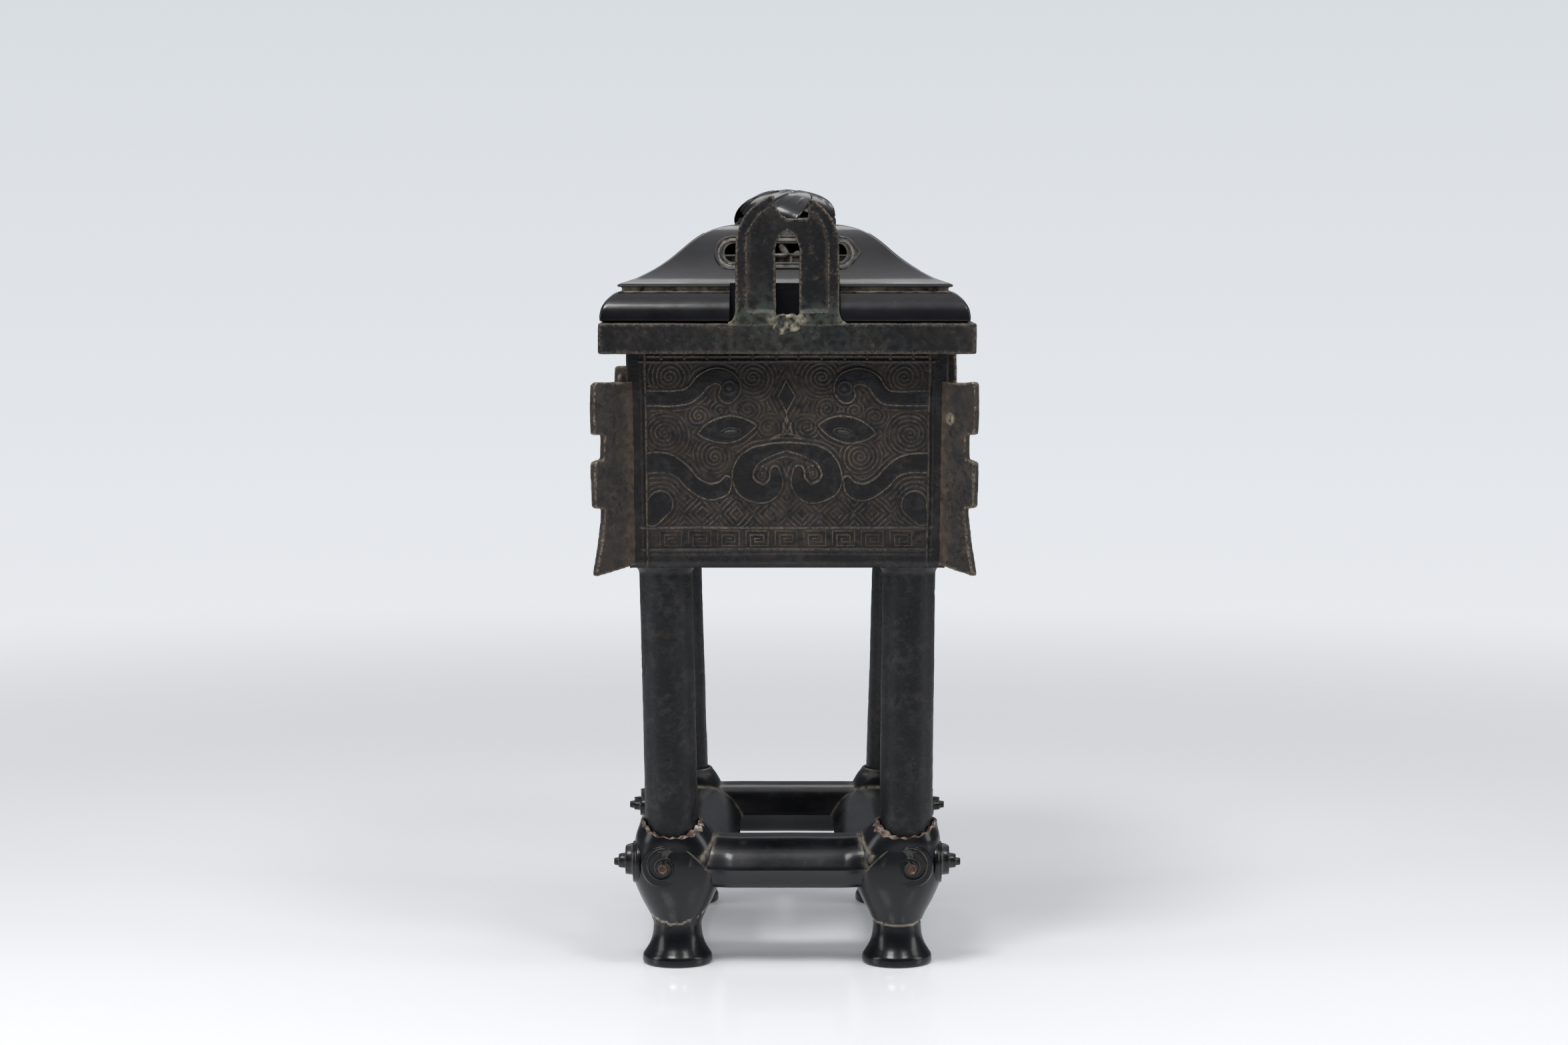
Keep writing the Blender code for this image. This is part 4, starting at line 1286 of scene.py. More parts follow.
@dataclass
class MaskPlan:
    """The mask on one wall: plain raised forms with thin borders on a ground of close spiral threads.

    Places are across and up from the foot of the wall's middle, with a half width or radius after them. They
    are for the short walls. A longer wall spreads the places apart and keeps the sizes.
    """

    SPIRALS = (
        (39.2, 64.0, 5.6), (11.3, 63.8, 5.0), (40.9, 44.8, 6.5), (24.3, 37.2, 5.0), (29.5, 50.8, 2.3),
        (13.2, 53.2, 2.0), (22.6, 52.6, 1.7), (6.4, 47.0, 2.0)
    )
    HORN = (
        (49.0, 56.9, 2.1), (35.5, 56.7, 2.0), (31.3, 58.6, 2.0), (28.3, 62.4, 2.0), (24.0, 64.3, 2.1),
        (20.4, 63.2, 2.5), (18.8, 60.4, 2.9), (19.8, 57.9, 2.5)
    )
    SNOUT = (
        (0.6, 40.3, 1.0), (6.0, 39.3, 1.7), (11.9, 36.9, 2.4), (15.0, 31.6, 2.9), (13.4, 26.8, 3.0),
        (8.0, 24.9, 2.7), (4.1, 28.2, 2.2), (4.0, 32.4, 1.3)
    )
    JAW = (
        (49.0, 35.0, 3.0), (41.0, 35.0, 2.6), (35.6, 32.6, 2.1), (31.4, 28.2, 2.0), (26.4, 25.4, 2.3),
        (21.8, 26.6, 2.0), (20.2, 29.4, 1.0)
    )
    STROKES = (HORN, SNOUT, JAW)
    CURL = (42.8, 21.4, 3.9)
    CURL_ROOT = ((42.8, 20.6, 3.4), (45.6, 17.0, 2.4))
    BOSSES = ((8.7, 31.4, 1.5), (19.3, 60.2, 1.1))
    NOSE = ((0.0, 50.5, 0.5), (0.0, 47.4, 1.9), (1.6, 44.4, 1.1), (6.0, 42.6, 0.3))
    STROKE_STEPS = 5

    half: float
    has_flange: bool
    seed: int
    short_half: float = 47.4
    pitch: float = 1.5
    ground: float = -0.16
    thread: float = 0.44
    plain: float = 0.24
    border: float = 0.58
    margin_rise: float = 0.02
    eye: tuple[float, float] = (20.0, 46.2)
    eye_half: tuple[float, float] = (9.2, 3.9)
    eye_tilt: float = -8.0
    pupil: tuple[float, float] = (18.9, 45.3)
    pupil_half: tuple[float, float] = (3.3, 1.15)
    pupil_tilt: float = -6.0
    diamond_z: float = 57.4
    diamond_half: tuple[float, float] = (2.3, 4.5)
    diamond_scale: float = 2.05
    lozenge_top: float = 23.4
    lozenge_reach: float = 36.5
    lozenge_middle: float = 28.8
    lozenge_row: float = 18.3
    lozenge_pitch: float = 11.8
    band_low: float = 6.6
    band_high: float = 13.4
    panel_high: float = 68.7
    top_line: float = 69.0
    fret_low: float = 69.5
    fret_line: float = 70.7
    fret_pitch: float = 7.6

    @property
    def wide(self) -> float:
        """How much wider this wall is than a short one."""
        return self.half / self.short_half

    def spread(self, rows: Sequence[Sequence[float]]) -> np.ndarray:
        """Spreads places out to this wall's width."""
        return np.array(rows, float) * np.array([self.wide, 1.0, 1.0])

    def forms(self, a: np.ndarray, v: np.ndarray) -> np.ndarray:
        """How far points lie outside the plain raised forms.

        Args:
            a: distances from the mask's axis.
            v: heights above the wall's foot.

        Returns:
            Distances from the nearest form's edge.
        """
        strokes = (smooth_line(self.spread(line), self.STROKE_STEPS) for line in self.STROKES)
        edges = [chain_distance(a, v, line) for line in (*strokes, self.spread(self.CURL_ROOT))]
        eye = (self.eye[0] * self.wide, self.eye[1])
        edges.append(lens_distance(a, v, eye, *self.eye_half, self.eye_tilt))
        edges.append(np.hypot(a - self.CURL[0] * self.wide, v - self.CURL[1]) - self.CURL[2])
        if not self.has_flange:
            width, height = self.diamond_half
            edges.append((a / width + np.abs(v - self.diamond_z) / height - 1) * self.diamond_scale)
        return np.minimum.reduce(edges)

    def threads(self, a: np.ndarray, v: np.ndarray, edge: np.ndarray) -> np.ndarray:
        """The phase of the ground's close threads.

        Args:
            a: distances from the mask's axis.
            v: heights above the wall's foot.
            edge: distances from the plain forms.

        Returns:
            A distance whose whole pitches are the crests of the threads.
        """
        phase = edge - 0.55
        best = edge - 0.4
        for middle, height, radius in self.spread(self.SPIRALS):
            away = np.hypot(a - middle, (v - height) * 1.06)
            turn = np.arctan2(v - height, a - middle) / (2 * math.pi)
            nearer = away - radius < best
            best = np.where(nearer, away - radius, best)
            phase = np.where(nearer, away - turn * self.pitch, phase)
        low = (v < self.lozenge_top) & (a < self.lozenge_reach * self.wide) & (edge > 1.0)
        half_pitch = self.lozenge_pitch / 2
        cell = (a - self.lozenge_middle * self.wide + half_pitch) % self.lozenge_pitch - half_pitch
        nested = (np.abs(cell) + np.abs(v - self.lozenge_row)) / math.sqrt(2)
        return np.where(low, nested, phase)

    def relief(self, u: np.ndarray, v: np.ndarray) -> tuple[np.ndarray, np.ndarray]:
        """The height of the wall's surface and how much earth lies on it, with painted shade and painted
        highlight mixed into the earth.

        Args:
            u: places across the wall.
            v: heights above its foot.

        Returns:
            Heights in millimetres, and earth with painted shade and highlight in it, from 0 to 1.
        """
        grain = Grain(self.seed)
        place = np.stack([u, v, np.zeros(u.shape)], -1)
        a = np.abs(u + grain.rough(place, 9.0, 2) * 0.55)
        w = v + grain.rough(place + 90, 8.0, 2) * 0.45
        edge = self.forms(a, w)
        crest = 0.5 + 0.5 * np.cos(2 * math.pi * self.threads(a, w, edge) / self.pitch)
        worn = 0.72 + 0.28 * grain.rough(place + 40, 5.0, 2)
        inside = step_between(edge, 0.12, -0.16)
        height = (self.ground + self.thread * crest**1.4 * worn) * (1 - inside) + self.plain * inside
        line = hump(edge - 0.42, 0.27) * (0.6 + 0.4 * worn)
        height = np.maximum(height, self.ground + (self.border - self.ground) * line)
        return self.frame(u, v, height + self.features(a, w), inside, grain, place)

    def features(self, a: np.ndarray, v: np.ndarray) -> np.ndarray:
        """The pupils, the round bosses and the nose, which stand on the forms and the ground.

        Args:
            a: distances from the mask's axis.
            v: heights above the wall's foot.

        Returns:
            How far they stand up.
        """
        middle = (self.pupil[0] * self.wide, self.pupil[1])
        pupil = lens_distance(a, v, middle, *self.pupil_half, self.pupil_tilt)
        rise = 0.62 * step_between(pupil, 0.1, -1.0) + 0.30 * hump(pupil - 0.1, 0.25) * (pupil < 1)
        for middle, high, radius in self.spread(self.BOSSES):
            boss = np.hypot(a - middle, v - high)
            rise += 0.45 * step_between(boss, radius, radius * 0.3) + 0.28 * hump(boss - radius - 1.2, 0.26)
        if not self.has_flange:
            rise += 0.6 * step_between(chain_distance(a, v, np.array(self.NOSE)), 0.25, -0.9)
        return rise

    def frame(
        self, u: np.ndarray, v: np.ndarray, height: np.ndarray, inside: np.ndarray, grain: Grain,
        place: np.ndarray
    ) -> tuple[np.ndarray, np.ndarray]:
        """Adds the frame lines, the bands above and below, and the plain margin, with painted highlight on the
        raised lines and painted shade on the margin.

        Args:
            u: places across the wall.
            v: heights above its foot.
            height: the relief inside the frame.
            inside: where the plain forms are, from 0 to 1.
            grain: the wall's noise.
            place: the same points for the noise.

        Returns:
            Heights in millimetres, and earth with painted shade and highlight in it, from 0 to 1.
        """
        side = np.abs(u) + grain.sample(place + 7, 14.0) * 0.25
        level = v + grain.sample(place + 13, 16.0) * 0.22
        step = np.abs(u % self.fret_pitch - self.fret_pitch / 2)
        band = -0.12 + 0.07 * grain.sample(place, 1.1)
        fret = np.where((step < 0.45) | (np.abs(level - self.fret_line) < 0.35), 0.34, -0.1)
        earth = 0.92 - 0.80 * inside
        areas = (
            ((level > self.band_high) & (level < self.panel_high), height, earth),
            ((level > self.band_low) & (level <= self.band_high), band, 0.66),
            (level > self.fret_low, fret, 0.8)
        )
        height, earth = self.margin_rise, 0.35
        for area, area_height, area_earth in areas:
            height = np.where(area & (side < self.half), area_height, height)
            earth = np.where(area & (side < self.half), area_earth, earth)
        lines = (
            (side - self.half, 0.50, 0.46), (side - self.half - 1.5, 0.34, 0.18),
            (level - self.band_low + 0.5, 0.42, 0.34), (level - self.band_low + 1.9, 0.34, 0.22),
            (level - self.band_high, 0.42, 0.38), (level - self.top_line, 0.42, 0.44)
        )
        for gap, width, rise in lines:
            ends = (side < self.half + 0.6) | (np.abs(gap - side + self.half) < 2.0)
            lift = rise * hump(gap, width) * ends
            height = np.maximum(height, lift)
            # Painted highlight: the raised lines get more of the pale earth colour.
            earth = np.maximum(earth, lift * 1.6)
        height = height - 0.9 * step_between(v, 2.6, 0.0) ** 2 + 0.06 * grain.rough(place, 3.0)
        # Painted shade: the margin loses earth towards the corners; the wall also loses earth, so it is darker,
        # towards its bottom.
        shade = step_between(side, self.half + 0.8, self.half + 5.0)
        earth = earth * (1 - 0.55 * shade) * (1 - 0.7 * step_between(v, 4.6, 3.0))
        return height, np.clip(earth * (0.68 + 0.45 * grain.rough(place + 300, 16.0)), 0, 1)


def spaced(
    low: float, high: float, fine_low: float, fine_high: float, fine: float, coarse: float
) -> np.ndarray:
    """Places from low to high, close together in the middle part.

    Args:
        low: the first place.
        high: the last place.
        fine_low: where the close part starts.
        fine_high: where it ends.
        fine: the spacing there.
        coarse: the spacing elsewhere.

    Returns:
        The places in order.
    """
    parts = []
    for start, end, gap in ((low, fine_low, coarse), (fine_low, fine_high, fine), (fine_high, high, coarse)):
        if end - start > 1e-6:
            parts.append(np.linspace(start, end, max(2, int(round((end - start) / gap)) + 1))[:-1])
    return np.concatenate([*parts, [high]])


# Bronze vessel


@dataclass
class Ding:
    """The bronze vessel: core, four relief walls, rim, handles, flanges and legs."""

    FINEST = {Side.FRONT: 0.285, Side.REAR: 0.42, Side.LEFT: 0.46, Side.RIGHT: 0.46}
    KEY_PATH = (
        (-4.1, -2.5), (-4.1, 2.5), (3.2, 2.5), (3.2, -2.5), (-2.6, -2.5), (-2.6, 1.1), (1.8, 1.1),
        (1.8, -1.2), (-1.1, -1.2), (-1.1, -0.1), (0.6, -0.1)
    )
    KEY_SECTION = ((-0.34, -0.4), (-0.17, 0.16), (0.17, 0.16), (0.34, -0.4))
    LEANS = {Corner.FRONT_LEFT: 2.0, Corner.FRONT_RIGHT: 0.8, Corner.REAR_LEFT: 2.7, Corner.REAR_RIGHT: 2.7}
    BITE = ((-4.2, 3.0), (-4.3, -4.4), (-2.9, -5.6), (-1.3, -7.9), (0.2, -8.4), (6.9, -8.5), (7.0, 3.0))
    CRUST_HALF = (4.9, 0.0, 3.7)
    CHIP_PLACE = (54.4, -71.0, 186.4)
    CHIP_HALF = (1.6, 3.0, 2.2)
    CRUST_STEPS = (
        (1.0, -0.6), (0.97, 0.12), (0.86, 0.38), (0.66, 0.50), (0.42, 0.42), (0.2, 0.36), (0.05, 0.34)
    )

    material: Material
    rows: NodeTree
    bottom_z: float = 136.4
    body_height: float = 71.6
    half_x: float = 53.4
    half_y: float = 70.0
    taper: float = 0.9
    wall: float = 4.0
    floor: float = 4.5
    slab: float = 2.6
    overhang: float = 9.0
    rim_height: float = 10.3
    rim_inner: float = 13.0
    handle_half: float = 17.1
    handle_thickness: float = 7.0
    handle_straight: float = 25.0
    handle_arch: float = 17.7
    handle_border: float = 3.65
    handle_flare: float = 2.6
    handle_recess: float = 0.75
    slot_half: float = 3.9
    slot_sill: float = 2.4
    slot_straight: float = 22.0
    slot_point: float = 5.8
    flange_half: float = 1.3
    leg_radius: float = 9.0
    leg_x: float = 41.0
    leg_y: float = 57.5
    leg_bottom_z: float = 40.3
    panel_inset: float = 6.0
    key_pitch: float = 9.6
    key_middle: float = 9.95

    @property
    def rim_z(self) -> float:
        """The height of the rim's underside."""
        return self.bottom_z + self.body_height

    @property
    def rim_top(self) -> float:
        """The height of the rim's top."""
        return self.rim_z + self.rim_height

    def build(self) -> None:
        """Builds and dresses every piece of the vessel."""
        self.build_core()
        for number, side in enumerate(Side):
            self.build_wall(side, number)
            self.build_fret(side)
        self.build_rim()
        for side in (Side.FRONT, Side.REAR):
            self.build_handle(side)
        self.build_flanges()
        for corner in Corner:
            self.build_leg(corner)
        self.build_sill_crust()

    def finish(self, obj: Piece, sharp: float = 180.0) -> Piece:
        """Dresses one bronze piece."""
        return dress(obj, self.material, ["ding"], sharp)

    def build_core(self) -> None:
        """The plain hollow box behind the relief walls, with the vessel's floor."""
        inset = self.slab - 0.6
        sections = (
            (inset + self.taper + 0.3, 0.02), (inset + self.taper, 0.6), (inset, self.body_height + 2),
            (self.wall, self.body_height + 2), (self.wall + self.taper, self.floor)
        )
        half = (self.half_x, self.half_y)
        core = loft("ding_core", rectangle_stack(half, sections, self.bottom_z, 0.4, (20, 26)))
        paint(core, "dust", 0.35)
        self.finish(core, 35)

    def wall_frame(self, side: Side) -> tuple[np.ndarray, np.ndarray, np.ndarray, float]:
        """The frame of a sloping wall.

        Args:
            side: the wall.

        Returns:
            The middle of its foot, the ways across and up, and half its width at the top.
        """
        distance = (self.half_y if side.is_short else self.half_x) - self.taper
        origin = side.out * distance + UP * self.bottom_z
        up = side.out * self.taper + UP * self.body_height
        return origin, side.across, up / np.linalg.norm(up), self.half_x if side.is_short else self.half_y

    def build_wall(self, side: Side, number: int) -> None:
        """One relief wall: a closed slab with a mitred back.

        Args:
            side: the wall.
            number: which wall it is, so that each has its own casting marks.
        """
        origin, across, up, half = self.wall_frame(side)
        plan = MaskPlan(half - self.panel_inset, not side.is_short, Seed.WALLS + number)
        fine = self.FINEST[side]
        edge = half - self.panel_inset + 2.2
        us = spaced(-half, half, -edge, edge, fine, 0.7)
        vs = spaced(0.0, self.body_height, 3.0, self.body_height - 0.5, fine, 0.5)
        u, v = np.meshgrid(us, vs)
        height, earth = plan.relief(u, v)
        height = height * step_between(half - np.abs(u), 0.0, 1.0)
        narrow = 1 - self.taper / half * (1 - v / self.body_height)
        flat = np.column_stack([(u * narrow).ravel(), v.ravel(), height.ravel()])
        points = place_in(flat, origin, across, up)
        count = len(us) * len(vs)
        inner = half - self.slab
        back = np.array([(x, high, -self.slab) for high in (0.0, self.body_height) for x in (-inner, inner)])
        back[:2, 0] *= 1 - self.taper / half
        points = np.vstack([points, place_in(back, origin, across, up)])
        wide = len(us)
        faces = grid_faces(len(vs), wide, False)
        faces.extend([
            [*range(wide - 1, -1, -1), count, count + 1], [*range(count - wide, count), count + 3, count + 2],
            [*range(0, count, wide), count + 2, count], [*range(count - 1, 0, -wide), count + 1, count + 3],
            [count, count + 2, count + 3, count + 1]
        ])
        obj = new_piece(f"ding_wall_{side.label}", points, faces)
        heights = np.concatenate([height.ravel(), np.zeros(4)])
        # Painted highlight and shade of the relief: points that stand proud of their neighbours get more earth
        # and the pale worn colour, points in the grooves lose their earth and stay dark; partly real earth and
        # wear.
        proud = (heights - neighbour_mean(read_edges(obj), heights, 6)[:, 0])[:count]
        dust = earth.ravel() * np.clip(0.50 + proud * 6.0, 0.05, 1)
        rubbed = np.clip(0.72 + 1.1 * Grain(Seed.WALL_WEAR + number).rough(points[:count], 10.0), 0.12, 1.25)
        # Pale worn colour on the crests: partly real wear, partly painted highlight.
        wear = np.clip(proud * 4.6 - 0.10, 0, 0.95) * (0.15 + 0.85 * earth.ravel()) * rubbed
        paint(obj, "dust", np.concatenate([dust, np.zeros(4)]))
        paint(obj, "wear", np.concatenate([wear, np.zeros(4)]))
        self.finish(obj)

    def key(self) -> Piece:
        """One square key of the fret, as a raised thread with mitred corners.

        Returns:
            The key, flat about the origin.
        """
        path = np.array(self.KEY_PATH)
        ways = np.diff(path, axis=0)
        ways = ways / np.linalg.norm(ways, axis=1)[:, None]
        rings = []
        for point, before, after in zip(path, [ways[0], *ways], [*ways, ways[-1]]):
            both = before + after
            mitre = np.array([-both[1], both[0]])
            mitre = mitre / (mitre @ mitre) * 2
            rings.append([[*(point + mitre * beside), rise] for beside, rise in self.KEY_SECTION])
        return loft("key", np.array(rings))

    def build_fret(self, side: Side) -> None:
        """The row of square keys in the band under the mask, made with Geometry Nodes.

        Args:
            side: the wall that it lies on.
        """
        origin, across, up, half = self.wall_frame(side)
        key = self.key()
        count = int((2 * (half - self.panel_inset) - 3) // self.key_pitch)
        host = new_piece(f"ding_fret_{side.label}", np.zeros((1, 3)), [])
        values = {
            "Item": key, "Count": count, "Pitch": self.key_pitch * MM,
            "Start": (-(count - 1) / 2 * self.key_pitch * MM, 0.0, 0.0), "Material": self.material
        }
        obj = self.rows.run(host, values)
        bpy.data.objects.remove(key, do_unlink=True)
        points = read_points(obj)
        points[:, 1] += self.key_middle
        grain = Grain(Seed.FRETS + side.value[0] + 3 * side.value[1])
        points[:, 2] += grain.sample(points, 6.0) * 0.10
        points[:, 0] += grain.sample(points + 30, 5.0) * 0.22
        write_points(obj, place_in(points, origin, across, up))
        rubbed = grain.rough(points + 80, 9.0)
        paint(obj, "dust", 0.5 + 0.3 * rubbed)
        paint(obj, "wear", 0.16 + 0.30 * rubbed)
        self.finish(obj)

    def build_rim(self) -> None:
        """The thick square rim, swept round the mouth with softened worn edges."""
        low, high, inner, soft = self.rim_z, self.rim_top, self.rim_inner, 0.75
        section = []
        for middle, level, start in (
            (soft, low + soft, 180), (inner - soft, low + soft, 270), (inner - soft, high - soft, 0),
            (soft, high - soft, 90)
        ):
            for angle in np.radians(np.linspace(start, start + 90, 5)):
                section.append((middle + soft * math.cos(angle), level + soft * math.sin(angle)))
        half = (self.half_x + self.overhang, self.half_y + self.overhang)
        rings = rectangle_stack(half, subdivide(np.array(section), 0.7), 0.0, 0.9, FINE_SIDES)
        rim = loft("ding_rim", rings, closed=True)
        roughen(rim, Seed.RIM, ((22.0, 0.30), (5.0, 0.12), (1.6, 0.06)), 0.16)
        self.age(rim, 4, 5.0, 0.05, 0.22)
        points = read_points(rim)
        near = hump(points[:, 0], 22) * (np.abs(points[:, 1]) > self.half_y + 2)
        paint(rim, "green", near * 0.5)
        self.finish(rim)

    def age(self, obj: Piece, reach: int, strength: float, earth: float, edge: float) -> None:
        """Paints earth into a piece's hollows and wear on its edges.

        Args:
            obj: the piece.
            reach: how far points are compared.
            strength: how much a difference counts.
            earth: how much earth lies everywhere.
            edge: the most wear that an edge shows.
        """
        hollow, exposed = weather(obj, reach, strength)
        patch = Grain(Seed.AGE).rough(read_points(obj), 12.0) * 0.25
        paint(obj, "dust", hollow * 0.9 + earth + patch)
        paint(obj, "wear", np.clip(exposed * 1.2 - 0.1, 0, edge))

    def handle_outline(self, inset: float, foot: float) -> np.ndarray:
        """The arch of a handle, drawn this far inside its edge.

        Args:
            inset: how far inside.
            foot: the height of its lower edge.

        Returns:
            Rows of across and height.
        """
        spring = self.rim_top + self.handle_straight
        half = self.handle_half - inset
        turn = np.radians(np.linspace(0, 180, 29))
        arch = np.column_stack([half * np.cos(turn), spring + (self.handle_arch - inset) * np.sin(turn)])
        sides = [(-half, foot), (half, foot)]
        if inset == 0:
            wide = self.handle_flare
            flare = np.array([(wide, -2), (wide, 0.1), (0.9, 1.0), (0.1, 3.4)]) + (half, self.rim_top)
            sides = [(-half - wide, foot), (half + wide, foot)]
            return np.vstack([sides, flare, arch, mirrored(flare)])
        return np.vstack([sides, arch])

    def slot_outline(self) -> np.ndarray:
        """The narrow pointed opening in a handle.

        Returns:
            Rows of across and height.
        """
        sill = self.rim_top + self.slot_sill
        spring = sill + self.slot_straight
        half = self.slot_half
        right = smooth_line(
            [(half, spring - 3), (half, spring), (half * 0.62, spring + 3.7), (0, spring + self.slot_point)],
            4
        )
        return np.vstack([[(-half * 0.96, sill), (half, sill)], right, mirrored(right)[1:]])

    def build_handle(self, side: Side) -> None:
        """One upright arched handle with its recessed field and slot.

        Args:
            side: the short wall that it stands over.
        """
        origin = side.out * (self.half_y + self.overhang)
        across, back = side.across, -self.handle_thickness
        outline = self.handle_outline(0.0, self.rim_top - 5)
        obj = plate(f"ding_handle_{side.label}", outline, origin, across, back, 0.02)
        field = self.handle_outline(self.handle_border, self.rim_top + self.handle_border)
        cuts = [
            plate("field", field, origin, across, -self.handle_recess, 2.0),
            plate("field_back", field, origin, across, back - 2, back + 0.5),
            plate("slot", self.slot_outline(), origin, across, back - 3, 3.0)
        ]
        if side is Side.FRONT:
            crown = self.rim_top + self.handle_straight + self.handle_arch
            bite = np.array(self.BITE) + np.array([0.0, crown])
            cuts.append(plate("bite", bite, origin, across, back - 3, 3.0))
        obj = remesh(combine(obj, cuts, "DIFFERENCE"), 0.42, 4)
        points = read_points(obj)
        sunk = step_between(points[:, 2], self.rim_top - 0.4, self.rim_top - 2.6) * 0.9
        write_points(obj, points - side.out * sunk[:, None])
        roughen(obj, Seed.HANDLES + side.value[1], ((9.0, 0.20), (2.6, 0.12), (1.0, 0.05)), 0.20)
        self.age(obj, 6, 5.0, 0.0, 0.4)
        points = read_points(obj)
        low = step_between(points[:, 2], self.rim_top + 12, self.rim_top + 1)
        paint(obj, "green", low * 0.9)
        sill = np.hypot(points[:, 0] / 6.5, (points[:, 2] - self.rim_top - 1.2) / 3.0)
        flare = step_between(np.abs(points[:, 0]), 15.5, 18.5) * low
        paint(obj, "crust", step_between(sill, 1.25, 0.5) + 0.35 * flare)
        self.finish(obj)

    def build_sill_crust(self) -> None:
        """The chipped crust under the near handle's slot, hanging over the rim's face."""
        rings = []
        turn = turns_round(48)
        way = np.column_stack([np.cos(turn), np.zeros(len(turn)), np.sin(turn)])
        reach = 1 + 0.28 * Grain(Seed.CRUST_EDGE).rough(way[:, [0, 2, 1]] * 3, 1.4)
        face = -(self.half_y + self.overhang)
        for share, rise in self.CRUST_STEPS:
            spread = way * self.CRUST_HALF * share * reach[:, None]
            rings.append((-0.2, face - rise, self.rim_top - 0.3) + spread)
        obj = remesh(loft("ding_sill_crust", np.array(rings)), 0.30, 2)
        roughen(obj, Seed.CRUST, ((PIT_SIZE, 0.22), (0.7, 0.10)), 0.2)
        paint(obj, "crust", 0.34 + 1.1 * Grain(Seed.CRUST_TONE).rough(read_points(obj), 1.7))
        paint(obj, "green", 0.5)
        self.finish(obj)

    def flange_outline(self, reach: float, top_drop: float, stretch: float, seed: int) -> np.ndarray:
        """The notched edge of a flange.

        Args:
            reach: how far it stands out.
            top_drop: how far its top is below the rim.
            stretch: how much longer it is along its own slope.
            seed: the fixed seed of its chips.

        Returns:
            Rows of distance out and height.
        """
        top = self.rim_z - top_drop
        notch = reach - 3.0
        rows = [
            (-2.0, top + 0.1), (reach * 0.30, top - 0.25), (reach * 0.7, top - 0.1),
            (reach - 0.8, top + 0.15), (reach, top - 0.7), (reach + 0.1, self.rim_z - 18),
            (reach, self.rim_z - 26.2), (reach - 0.5, self.rim_z - 26.8), (notch + 0.2, self.rim_z - 26.6),
            (notch, self.rim_z - 27.4), (notch + 0.1, self.rim_z - 34.6), (reach - 0.4, self.rim_z - 35.2),
            (reach, self.rim_z - 36.0), (reach - 0.1, self.rim_z - 44), (reach - 0.3, self.rim_z - 50.2),
            (reach - 0.9, self.rim_z - 50.8), (notch - 0.2, self.rim_z - 51.2),
            (notch - 0.1, self.rim_z - 54.0), (reach - 2.0, self.bottom_z + 8.0),
            (reach - 0.5, self.bottom_z - 0.6), (reach - 0.7, self.bottom_z - 1.9),
            (reach * 0.6, self.bottom_z - 0.9), (-2.0, self.bottom_z + 1.1)
        ]
        outline = np.array(rows)
        shake = np.random.default_rng(seed).uniform(-0.14, 0.14, outline.shape)
        outline[1:-1] += shake[1:-1]
        outline[:, 0] *= stretch
        return outline

    def build_flanges(self) -> None:
        """The four corner flanges and the flange up the middle of each long side."""
        root = math.sqrt(2)
        pieces = []
        for seed, corner in enumerate(Corner):
            side_x, side_y = corner.value
            reach = 11.3 if side_x < 0 else 9.6
            middle = (side_x * (self.half_x - self.taper / 2), side_y * (self.half_y - self.taper / 2), 0.0)
            across = np.array([side_x, side_y, 0.0]) / root
            outline = self.flange_outline(reach, 9.2, root, Seed.FLANGE_EDGES + seed)
            pieces.append((f"ding_flange_{corner.label}", outline, np.array(middle), across, seed))
        for side, drop in ((Side.LEFT, 9.2), (Side.RIGHT, -1.0)):
            middle = side.out * (self.half_x - self.taper / 2)
            outline = self.flange_outline(6.9, drop, 1.0, Seed.SIDE_FLANGE_EDGES + side.value[0])
            pieces.append((f"ding_flange_{side.label}", outline, middle, side.out, 6 + side.value[0]))
        for name, outline, middle, across, seed in pieces:
            obj = plate(name, outline, middle, across, -self.flange_half, self.flange_half)
            obj = remesh(obj, 0.46, 4)
            roughen(obj, Seed.FLANGES + seed, ((8.0, 0.16), (2.2, 0.10), (0.9, 0.05)), 0.12)
            self.age(obj, 6, 5.0, 0.35, 0.75)
            points = read_points(obj)
            out = (points - middle) @ across
            spread = Grain(Seed.FLANGE_DUST).rough(points, 5.0)
            paint(obj, "dust", 0.30 + 0.55 * step_between(out, 5.0, 0.0) + 0.2 * spread)
            if name.endswith("front_right"):
                chip = np.linalg.norm((points - self.CHIP_PLACE) / self.CHIP_HALF, axis=1)
                paint(obj, "crust", step_between(chip, 1.3, 0.5))
            self.finish(obj)

    def build_leg(self, corner: Corner) -> None:
        """One round leg, a little uneven and flared where it meets the body.

        Args:
            corner: where it stands.
        """
        side_x, side_y = corner.value
        heights = np.linspace(self.leg_bottom_z, self.bottom_z + 1.5, 130)
        turn = turns_round(64)
        rings = []
        for z in heights:
            share = (self.bottom_z - z) / (self.bottom_z - self.leg_bottom_z)
            x = side_x * (self.leg_x - self.LEANS[corner] * share)
            flare = 1.5 * step_between(np.array([z]), self.bottom_z - 3.2, self.bottom_z + 0.4)[0] ** 2
            radius = self.leg_radius - 0.06 + flare
            middle = np.array([x, side_y * self.leg_y])
            rings.append(level_ring(middle + radius * np.column_stack([np.cos(turn), np.sin(turn)]), z))
        obj = loft(f"ding_leg_{corner.label}", np.array(rings))
        grain = Grain(Seed.LEGS + side_x + 2 * side_y)
        points = read_points(obj)
        rise = grain.rough(points, 14.0) * 0.16 + grain.rough(points + 20, 3.0) * 0.08
        rise -= step_between(grain.rough(points + 60, 2.2), 0.30, 0.60) * 0.16
        rise *= step_between(points[:, 2], self.leg_bottom_z + 0.5, 52.0) * 0.8 + 0.2
        push_out(obj, np.minimum(rise, 0.1))
        self.age(obj, 4, 1.5, -0.12, 0.05)
        self.finish(obj, 50)


# Wooden lid


